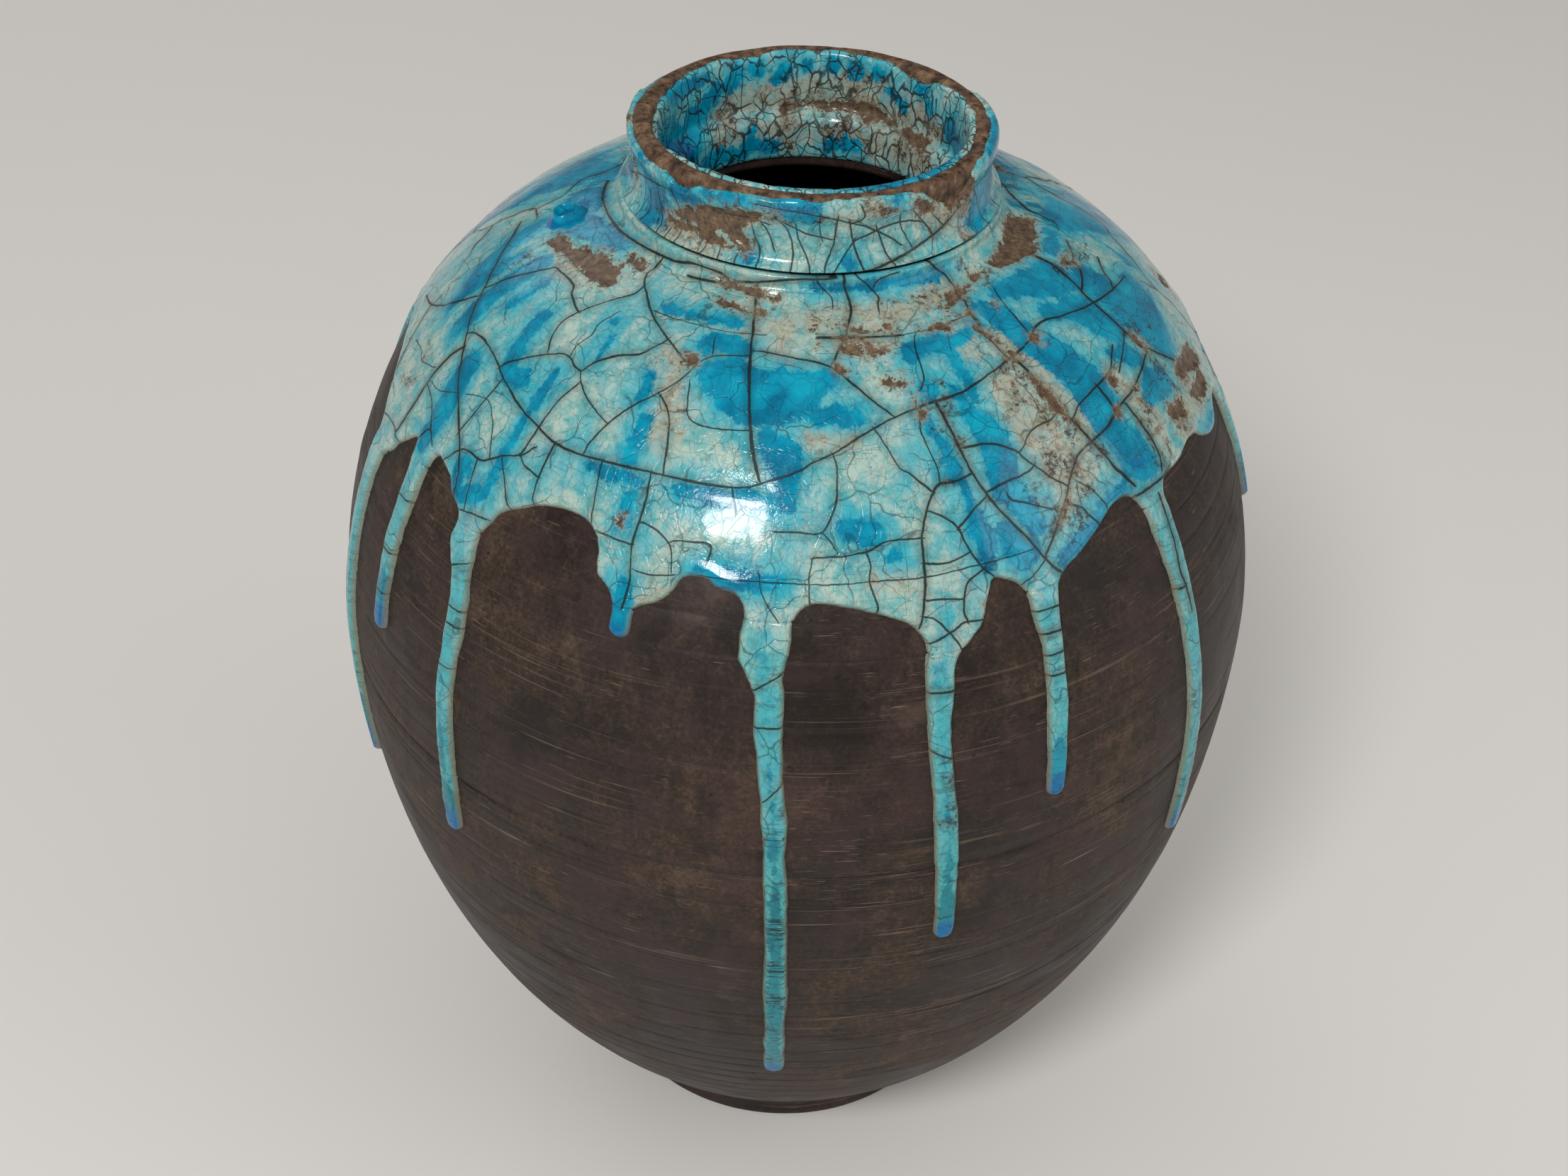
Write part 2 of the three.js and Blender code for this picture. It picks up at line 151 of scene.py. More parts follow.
def cloud(points, size, seed):
    # smooth noise from -1 to 1 over points in space, its blotches about size across
    q = points / size + seed * 13.7
    cell = np.floor(q).astype(np.int64)
    f = q - cell
    f = f * f * (3 - 2 * f)
    total = np.zeros(points.shape[:-1])
    for corner in np.ndindex(2, 2, 2):
        x, y, z = np.moveaxis(cell + corner, -1, 0)
        h = (x * 73856093 ^ y * 19349663 ^ z * 83492791 ^ seed * 2654435) & 0x7FFFFFFF
        h = (h * 1103515245 + 12345) & 0x7FFFFFFF
        h = ((h >> 7) ^ h) & 0xFFFF
        weight = np.prod(np.where(corner, f, 1 - f), axis=-1)
        total += weight * (h / 32767.5 - 1)
    return total


def soften(value, low, high):
    # 0 below low, 1 above high, smooth between
    t = np.clip((value - low) / (high - low), 0, 1)
    return t * t * (3 - 2 * t)


def rounded(share):
    # 0 to 1 along a quarter circle, as a glaze's edge rises
    return np.sqrt(1 - (1 - np.clip(share, 0, 1)) ** 2)


def fromLine(azimuth, arc, radius, points):
    # the nearest distance to a line of (azimuth, arc) points, its side, its overshoot past either end,
    # and the share along it. Distances are lengths on the jar's skin.
    p = np.array(points, float)
    near = np.full(azimuth.shape, 1e9)
    side = np.zeros(azimuth.shape)
    over = np.zeros(azimuth.shape)
    share = np.zeros(azimuth.shape)
    scale = np.radians(radius)
    last = len(p) - 2
    for k, (a, b) in enumerate(zip(p, p[1:])):
        x = (azimuth - a[0]) * scale
        y = arc - a[1]
        dx = (b[0] - a[0]) * scale
        dy = b[1] - a[1]
        size = dx * dx + dy * dy + 1e-9
        t = (x * dx + y * dy) / size
        at = np.clip(t, 0, 1)
        distance = np.hypot(x - at * dx, y - at * dy)
        closer = distance < near
        near = np.where(closer, distance, near)
        side = np.where(closer, np.sign(x * dy - y * dx), side)
        past = np.zeros(azimuth.shape)
        if k == 0:
            past = np.maximum(past, -t * np.sqrt(size))
        if k == last:
            past = np.maximum(past, (t - 1) * np.sqrt(size))
        over = np.where(closer, past, over)
        share = np.where(closer, (k + at) / (last + 1), share)
    return near, side, over, share


strokeReach = 12    # a stroke is felt this far outside its edge


def strokes(azimuth, arc, radius, chosen):
    # How deep inside the union of brush strokes each place lies, negative outside.
    # A stroke is a list of (azimuth, arc, half width).
    deep = np.full(azimuth.shape, -float(strokeReach))
    for stroke in chosen:
        p = np.array(stroke, float)
        low, high = p[:, :2].min(0), p[:, :2].max(0)
        reach = p[:, 2].max() + strokeReach
        beside = reach / np.radians(radius.min())
        close = (azimuth > low[0] - beside) & (azimuth < high[0] + beside)
        close &= (arc > low[1] - reach) & (arc < high[1] + reach)
        if not close.any():
            continue
        if len(p) == 1:
            p = np.vstack([p, p + [0, 0.01, 0]])
        near, _, _, share = fromLine(azimuth[close], arc[close], radius[close], p[:, :2])
        half = np.interp(share * (len(p) - 1), np.arange(len(p)), p[:, 2])
        deep[close] = np.maximum(deep[close], half - near)
    return deep


def newPiece(name, points, faces, uvs, material, node, attributes=None):
    # points in millimetres, faces as lists of corners, uvs as one pair for each face corner
    mesh = bpy.data.meshes.new(name)
    mesh.from_pydata((points * mm).tolist(), [], faces)
    layer = mesh.uv_layers.new(name="OFBake")
    layer.data.foreach_set("uv", np.asarray(uvs, np.float32).ravel())
    for label, values in (attributes or {}).items():
        values = np.asarray(values, np.float32)
        kind = "FLOAT_VECTOR" if values.ndim == 2 else "FLOAT"
        field = "vector" if values.ndim == 2 else "value"
        mesh.attributes.new(label, kind, "POINT").data.foreach_set(field, values.ravel())
    mesh.materials.append(material)
    mesh.update()
    mesh.shade_smooth()
    piece = bpy.data.objects.new(name, mesh)
    bpy.context.scene.collection.objects.link(piece)
    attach(piece, "root")
    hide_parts(node)
    return piece


def stripUv(column, row, columns, rows, strips):
    # the skin unrolled and cut into strips, one above the other
    perStrip = columns / strips
    strip = np.minimum(np.floor((column.min() + 1e-6) / perStrip), strips - 1)
    u = 0.01 + 0.98 * (column - strip * perStrip) / perStrip
    v = (strip + 0.02 + 0.96 * row / rows) / strips
    return np.stack([u, v], axis=-1)


def clippedSheet(name, node, line, azimuths, arcs, keep, lift, under, marks, wraps=False, strips=1):
    # A closed sheet of glaze over part of the jar: where keep(azimuth, arc) is above 0, between its
    # lifted top and an underside that lies in the clay. Its edge follows keep's zero line, which runs
    # through the grid's cells.
    az, arc = np.meshgrid(azimuths, arcs)
    rows, columns = az.shape
    value = keep(az, arc)
    if wraps:
        value[:, -1] = value[:, 0]
    inside = value >= 0
    wrapped = np.arange(columns)
    if wraps:
        wrapped[-1] = 0
    index = -np.ones((rows, columns), int)
    owner = inside.copy()
    if wraps:
        owner[:, -1] = False
    index[owner] = np.arange(owner.sum())
    if wraps:
        index[:, -1] = index[:, 0]
    places = [np.stack([az[owner], arc[owner]], axis=1)]
    count = int(owner.sum())
    crossings = {}
    extra = []
    faces, corners = [], []
    full = inside[:-1, :-1] & inside[1:, :-1] & inside[1:, 1:] & inside[:-1, 1:]
    mixed = (inside[:-1, :-1] | inside[1:, :-1] | inside[1:, 1:] | inside[:-1, 1:]) & ~full
    for r, c in zip(*np.nonzero(full)):
        faces.append([index[r, c], index[r + 1, c], index[r + 1, c + 1], index[r, c + 1]])
        corners.append([(c, r), (c, r + 1), (c + 1, r + 1), (c + 1, r)])
    for r, c in zip(*np.nonzero(mixed)):
        ring = [(r, c), (r + 1, c), (r + 1, c + 1), (r, c + 1)]
        face, corner = [], []
        for k, a in enumerate(ring):
            b = ring[(k + 1) % 4]
            if inside[a]:
                face.append(index[a])
                corner.append((a[1], a[0]))
            if inside[a] != inside[b]:
                key = tuple(sorted([(a[0], wrapped[a[1]]), (b[0], wrapped[b[1]])]))
                t = value[a] / (value[a] - value[b])
                t = min(max(t, 0.02), 0.98)
                if key not in crossings:
                    crossings[key] = count + len(extra)
                    extra.append((az[a] + t * (az[b] - az[a]), arc[a] + t * (arc[b] - arc[a])))
                face.append(crossings[key])
                corner.append((a[1] + t * (b[1] - a[1]), a[0] + t * (b[0] - a[0])))
        if len(face) > 2:
            faces.append(face)
            corners.append(corner)
    if extra:
        places.append(np.array(extra))
    places = np.vstack(places)
    top = line.place(places[:, 0], places[:, 1], lift(places[:, 0], places[:, 1]))
    bottom = line.place(places[:, 0], places[:, 1], np.full(len(places), under))
    edges = set()
    for face in faces:
        for a, b in zip(face, face[1:] + face[:1]):
            edges.add((a, b))
    rim = [(a, b) for a, b in edges if (b, a) not in edges]
    n = len(places)
    uvs = [stripUv(np.array([c for c, _ in corner], float), np.array([r for _, r in corner], float),
                   columns - 1, rows - 1, strips) * [1, 0.94] for corner in corners]
    below = [[p + n for p in reversed(face)] for face in faces]
    walls = [[b, a, a + n, b + n] for a, b in rim]
    hidden = []    # the underside and the walls share one small corner of the UV square
    for face in below + walls:
        scatter = np.random.default_rng(1).random((len(face), 2)) * 0.004
        hidden.append(np.full((len(face), 2), 0.5) * [1, 1.95] + scatter)
    marked = marks(np.concatenate([places, places])[:, 0], np.concatenate([places, places])[:, 1])
    return newPiece(name, np.vstack([top, bottom]), faces + below + walls, np.vstack(uvs + hidden),
                    turquoiseGlaze, node, marked)


def turnedBody(name, node, rows, shift, outsideRows, lip=0):
    # A closed turned body. rows: (radius, height, arc) from the axis round to the axis, or a closed ring.
    rows = np.array(rows, float)
    columns, strips = turning["columns"], turning["strips"]
    azimuths = np.arange(columns) * 360 / columns - 180
    onAxis = rows[:, 0] < 1e-6
    opened = bool(onAxis.any())
    ring = rows[~onAxis]
    line = TurnedLine(ring[:, :2])
    az, row = np.meshgrid(azimuths, np.arange(len(ring)))
    push = shift(az, ring[:, 2][:, None] + 0 * az)
    turn = np.radians(az)
    out = ring[:, 0][:, None] + line.normals[:, 0][:, None] * push
    up = ring[:, 1][:, None] + line.normals[:, 1][:, None] * push
    points = np.stack([out * np.sin(turn), -out * np.cos(turn), up], axis=-1).reshape(-1, 3)
    faces, uvs = [], []
    count = len(ring)
    first, last = outsideRows
    span = last - first
    for r in range(count - 1 if opened else count):
        below = (r + 1) % count
        visible = first <= r < last
        for c in range(columns):
            d = (c + 1) % columns
            faces.append([r * columns + c, below * columns + c, below * columns + d, r * columns + d])
            col = np.array([c, c, c + 1, c + 1], float)
            if visible:
                down = np.array([r, r + 1, r + 1, r], float) - first
                uvs.append(stripUv(col, down, columns, span, strips) * [1, 0.8])
            else:
                other = (r - last) % count
                rest = count - span
                v = np.array([other, other + 1, other + 1, other], float) / rest
                uvs.append(np.stack([0.01 + 0.98 * col / columns, 0.81 + 0.17 * v], axis=-1))
    if opened:
        points = np.vstack([points, [0, 0, rows[0, 1]], [0, 0, rows[-1, 1]]])
        start, end = len(points) - 2, len(points) - 1
        base = (count - 1) * columns
        for c in range(columns):
            d = (c + 1) % columns
            faces.append([start, c, d])
            faces.append([base + c, end, base + d])
            uvs.append(np.array([[0.5, 0.985], [c / columns, 0.99], [(c + 1) / columns, 0.99]]))
            uvs.append(np.array([[c / columns, 0.99], [0.5, 0.995], [(c + 1) / columns, 0.99]]))
    pushed = np.concatenate([push.ravel(), [0, 0] if opened else []])
    marks = {"pushed": pushed + jar["skinDrop"], "lip": np.full(len(points), lip)}
    return newPiece(name, points, faces, np.vstack(uvs), smokedClay, node, marks)


def colour(code):
    # a colour as it looks on screen, "rrggbb", in the light that the shader works in
    parts = [int(code[k:k + 2], 16) / 255 for k in (0, 2, 4)]
    return tuple(p / 12.92 if p <= 0.04045 else ((p + 0.055) / 1.055) ** 2.4 for p in parts) + (1,)


class Wire:
    # one socket of a shader, so that its maths reads as plain expressions
    def __init__(self, finish, socket):
        self.finish = finish
        self.socket = socket

    def maths(self, operation, *values):
        return self.finish.node("ShaderNodeMath", {"operation": operation}, dict(enumerate(values)))

    def __add__(self, other):
        return self.maths("ADD", self, other)

    def __sub__(self, other):
        return self.maths("SUBTRACT", self, other)

    def __rsub__(self, other):
        return self.maths("SUBTRACT", other, self)

    def __mul__(self, other):
        return self.maths("MULTIPLY", self, other)

    def __abs__(self):
        return self.maths("ABSOLUTE", self)

    def most(self, other):
        return self.maths("MAXIMUM", self, other)

    def least(self, other):
        return self.maths("MINIMUM", self, other)

    __radd__ = __add__
    __rmul__ = __mul__


class Finish:
    # a material, or the world when its tree is given, that is being built
    def __init__(self, name, tree=None):
        if tree is None:
            self.material = bpy.data.materials.new(name)
            self.material.use_nodes = True
            tree = self.material.node_tree
        self.tree = tree
        self.tree.nodes.clear()

    def node(self, kind, settings=None, sockets=None, out=0):
        made = self.tree.nodes.new(kind)
        for key, value in (settings or {}).items():
            if key == "stops":
                ramp = made.color_ramp
                while len(ramp.elements) < len(value):
                    ramp.elements.new(1)
                for stop, (place, tint) in zip(ramp.elements, value):
                    stop.position = place
                    stop.color = tint
            else:
                setattr(made, key, value)
        for key, value in (sockets or {}).items():
            if isinstance(value, Wire):
                self.tree.links.new(value.socket, made.inputs[key])
            else:
                made.inputs[key].default_value = value
        if out is not None:
            return Wire(self, made.outputs[out])

    def mark(self, name):
        # a vertex attribute as three numbers
        vector = self.node("ShaderNodeAttribute", {"attribute_name": name}, out="Vector")
        return [self.node("ShaderNodeSeparateXYZ", None, {0: vector}, out=k) for k in range(3)]

    def number(self, name):
        return self.node("ShaderNodeAttribute", {"attribute_name": name}, out="Fac")

    def place(self, across=1, up=1):
        # the place on the object in millimetres, stretched
        where = self.node("ShaderNodeTexCoord", None, None, out="Object")
        stretch = (1000 * across, 1000 * across, 1000 * up)
        return self.node("ShaderNodeVectorMath", {"operation": "MULTIPLY"}, {0: where, 1: stretch})

    def plus(self, a, b):
        return self.node("ShaderNodeVectorMath", {"operation": "ADD"}, {0: a, 1: b})

    def noise(self, where, size, detail=3, roughness=0.55, out="Fac"):
        sockets = {"Vector": where, "Scale": 1 / size, "Detail": detail, "Roughness": roughness}
        return self.node("ShaderNodeTexNoise", None, sockets, out=out)

    def wander(self, where, size, reach):
        # where, pushed about by noise, by up to about reach
        push = self.noise(where, size, 2, out="Color")
        push = self.node("ShaderNodeVectorMath", {"operation": "SUBTRACT"}, {0: push, 1: (0.5, 0.5, 0.5)})
        push = self.node("ShaderNodeVectorMath", {"operation": "SCALE"}, {0: push, "Scale": 2 * reach})
        return self.plus(where, push)

    def cells(self, where, size):
        # the distance to the nearest edge between cells, in the units of where
        edge = self.node("ShaderNodeTexVoronoi", {"feature": "DISTANCE_TO_EDGE"},
                         {"Vector": where, "Scale": 1 / size}, out="Distance")
        return edge * size

    def spots(self, where, size):
        # the distance to the middle of the nearest cell, as a share of size
        return self.node("ShaderNodeTexVoronoi", None, {"Vector": where, "Scale": 1 / size}, out="Distance")

    def ramp(self, value, low, high, start=0, end=1):
        return self.node("ShaderNodeMapRange", {"interpolation_type": "SMOOTHSTEP"},
                         {0: value, 1: low, 2: high, 3: start, 4: end})

    def mix(self, share, a, b):
        return self.node("ShaderNodeMix", {"data_type": "RGBA"}, {0: share, 6: a, 7: b}, out=2)

    def tint(self, share, stops):
        return self.node("ShaderNodeValToRGB", {"stops": stops}, {0: share})

    def bump(self, height, strength, distance):
        sockets = {"Height": height, "Strength": strength, "Distance": distance * mm}
        return self.node("ShaderNodeBump", None, sockets)

    def shade(self, base, roughness, normal, **constants):
        sockets = {"Base Color": base, "Roughness": roughness, "Normal": normal}
        sockets.update({key.replace("_", " "): value for key, value in constants.items()})
        shader = self.node("ShaderNodeBsdfPrincipled", None, sockets)
        self.node("ShaderNodeOutputMaterial", None, {"Surface": shader}, out=None)
        return self.material


# The glaze's hem round the jar, as (azimuth, arc): every dip and scallop between the runs
hem = [
    (-99.6, 88), (-93, 82.2), (-83, 86), (-78, 93), (-75, 99), (-72, 103), (-69, 98.5), (-66, 95.5),
    (-62, 88.4), (-60, 90), (-58, 88), (-55, 88.5), (-52, 90.5), (-50.8, 93.5), (-48.6, 95.6), (-45.5, 97),
    (-43, 94.5), (-42, 91), (-39.9, 88), (-36.7, 84.2), (-34, 81.9), (-30.2, 81.3), (-27.6, 83), (-26, 87),
    (-25.2, 94), (-23, 97), (-20.8, 99), (-18.6, 98.8), (-17, 97.4), (-15.2, 94), (-14.2, 90), (-12.8, 89),
    (-11.2, 89), (-9.6, 91), (-7, 92.2), (-5.2, 95), (-3, 97.5), (-0.8, 97), (1.2, 94.2), (3, 93.5),
    (5.4, 94), (10, 96.2), (13.6, 99.4), (16, 103.5), (18, 106), (20.4, 107), (22.2, 104.4), (23.4, 101),
    (24.4, 95), (25.1, 91.6), (26.6, 92.6), (28.8, 94.4), (31.8, 96), (34.6, 95.4), (38, 93), (41, 90.2),
    (43.5, 87.2), (45.2, 85.6), (48, 84.8), (50.2, 86), (53.4, 90), (56.2, 88.6), (58, 87.4), (61, 88),
    (64, 87.4), (66, 86.6), (68, 87), (70, 88), (72, 91.4), (75, 93.8), (78, 92.8), (82, 90), (86, 93),
    (88, 97), (90, 93), (93, 87.7), (100, 81.8), (107.5, 86), (111, 93), (113, 98), (115, 94), (118, 91.2),
    (125.5, 83.5), (134.2, 89), (137, 96), (138.6, 99), (141, 95), (143, 93.5), (147.4, 96.2), (152, 89),
    (162, 84), (171.5, 89.5), (175, 97), (177, 101), (180, 96), (182.4, 92.4), (190, 84), (199, 88.4),
    (202, 95), (203.4, 98), (205.4, 95), (207.6, 90), (216, 82.5), (224.8, 89.6), (227.6, 97), (229.4, 101),
    (232, 96), (234.2, 92.4), (243, 83.4), (252, 87.7), (255, 93), (256.4, 96), (258, 93),
]

# The runs, as (drop below the seat, azimuth, width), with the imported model's stations as their core.
# "blue" is the length of the tip that is pooled blue.
runs = {
    "run_far_left": {"line": [(57, -71, 20), (62, -71, 14), (67.5, -72.4, 9.6), (77, -72.6, 7.6),
                              (97, -71.8, 6.6), (135, -70.6, 6.2), (172, -69.5, 6.6)], "blue": 10},
    "run_left": {"line": [(52, -60, 12), (60, -59.5, 8.4), (70, -59.3, 7.4), (82, -59.4, 6.6),
                          (100, -59, 6.2), (105.8, -58.7, 6.6)], "blue": 6.5},
    "run_left_centre": {"line": [(55, -45.6, 13), (60, -45.5, 9.4), (66, -45.7, 9.8), (73, -44.6, 7.2),
                                 (80, -43.7, 6.6), (88, -43.6, 7.4), (107, -43.9, 6.2), (130, -43.4, 6),
                                 (155.8, -43.5, 6.6)], "blue": 8},
    "run_short": {"line": [(56, -21, 8), (62, -21.1, 6), (66, -21, 5.6), (69.4, -21, 6)], "blue": 2.5},
    "run_centre": {"line": [(55, -3, 14), (59.5, -3.2, 11), (66, -3.3, 13.6), (71, -3.4, 13), (77, -3, 8.6),
                            (80, -2.6, 8), (90, -2.5, 7.6), (104, -2, 6.6), (117, -1.4, 7.4),
                            (128, -1.3, 6), (145, -1, 6.8), (164, -0.8, 6.2), (185, -0.7, 7.4),
                            (208, -0.6, 6.2), (231.4, -0.6, 6.6)], "blue": 6.5},
    "run_right_centre": {"line": [(62, 18.6, 15), (69, 18, 10), (74, 17.3, 8.6), (83, 17, 7.4),
                                  (95, 16.9, 6.4), (107, 17.3, 6.2), (120, 17.8, 7), (138, 18.3, 6.6),
                                  (150, 18.6, 6.8), (162.4, 18.8, 6)], "blue": 6.5},
    "run_right": {"line": [(56, 31.8, 13), (62, 31.6, 9.6), (69, 31.5, 7.8), (76, 31.8, 6.6),
                           (92, 31.8, 6.6), (106, 31.5, 5.8), (118, 31.3, 6.2)], "blue": 6.5},
    "run_far_right": {"line": [(52, 53.2, 11), (58, 53.6, 9.6), (66, 53.8, 9), (78, 54.3, 8), (92, 54.8, 7),
                               (120, 55.6, 6.6), (168.6, 57, 6.6)], "blue": 8},
    "run_back_1": {"line": [(55, 88, 12), (60, 88, 9), (68, 87.6, 7.4), (82, 88.2, 6.4), (94.8, 88.4, 6.4)],
                   "blue": 6},
    "run_back_2": {"line": [(56, 113, 13), (62, 113.2, 10), (70, 113.6, 8), (90, 113.2, 6.6),
                            (110, 113.2, 6.4), (140, 114, 6.2), (182.8, 114.6, 6.4)], "blue": 7},
    "run_back_3": {"line": [(58, 138.6, 11), (64, 138.3, 8.6), (71, 138, 7.2), (100, 138.6, 6.2),
                            (124.8, 139, 6.4)], "blue": 6},
    "run_back_4": {"line": [(57, 177, 15), (63, 177, 11.6), (71, 177.6, 8.6), (90, 178.4, 6.8),
                            (140, 178.6, 6.4), (175, 179.2, 7), (210.6, 179, 6.6)], "blue": 7},
    "run_back_5": {"line": [(56, 203.4, 10), (61, 203.4, 8.4), (70, 203, 6.8), (95, 203.6, 6.2),
                            (114.8, 203.4, 6.4)], "blue": 6},
    "run_back_6": {"line": [(58, 229.4, 13), (64, 229.4, 10.6), (73, 229, 7.8), (110, 229.8, 6.4),
                            (161.6, 230, 6.4)], "blue": 7},
    "run_back_7": {"line": [(55, 256.4, 10), (60, 256.4, 8), (68, 256, 6.8), (88.8, 256.2, 6.4)],
                   "blue": 5},
}

# Where a run parts from the coat, as an arc: the two pieces meet there edge to edge
roots = {
    "run_far_left": 103.5, "run_left": 93.5, "run_left_centre": 98, "run_short": 100.5, "run_centre": 98,
    "run_right_centre": 108, "run_right": 97.5, "run_far_right": 91, "run_back_1": 97.5, "run_back_2": 99,
    "run_back_3": 100, "run_back_4": 102, "run_back_5": 99, "run_back_6": 102, "run_back_7": 97,
}

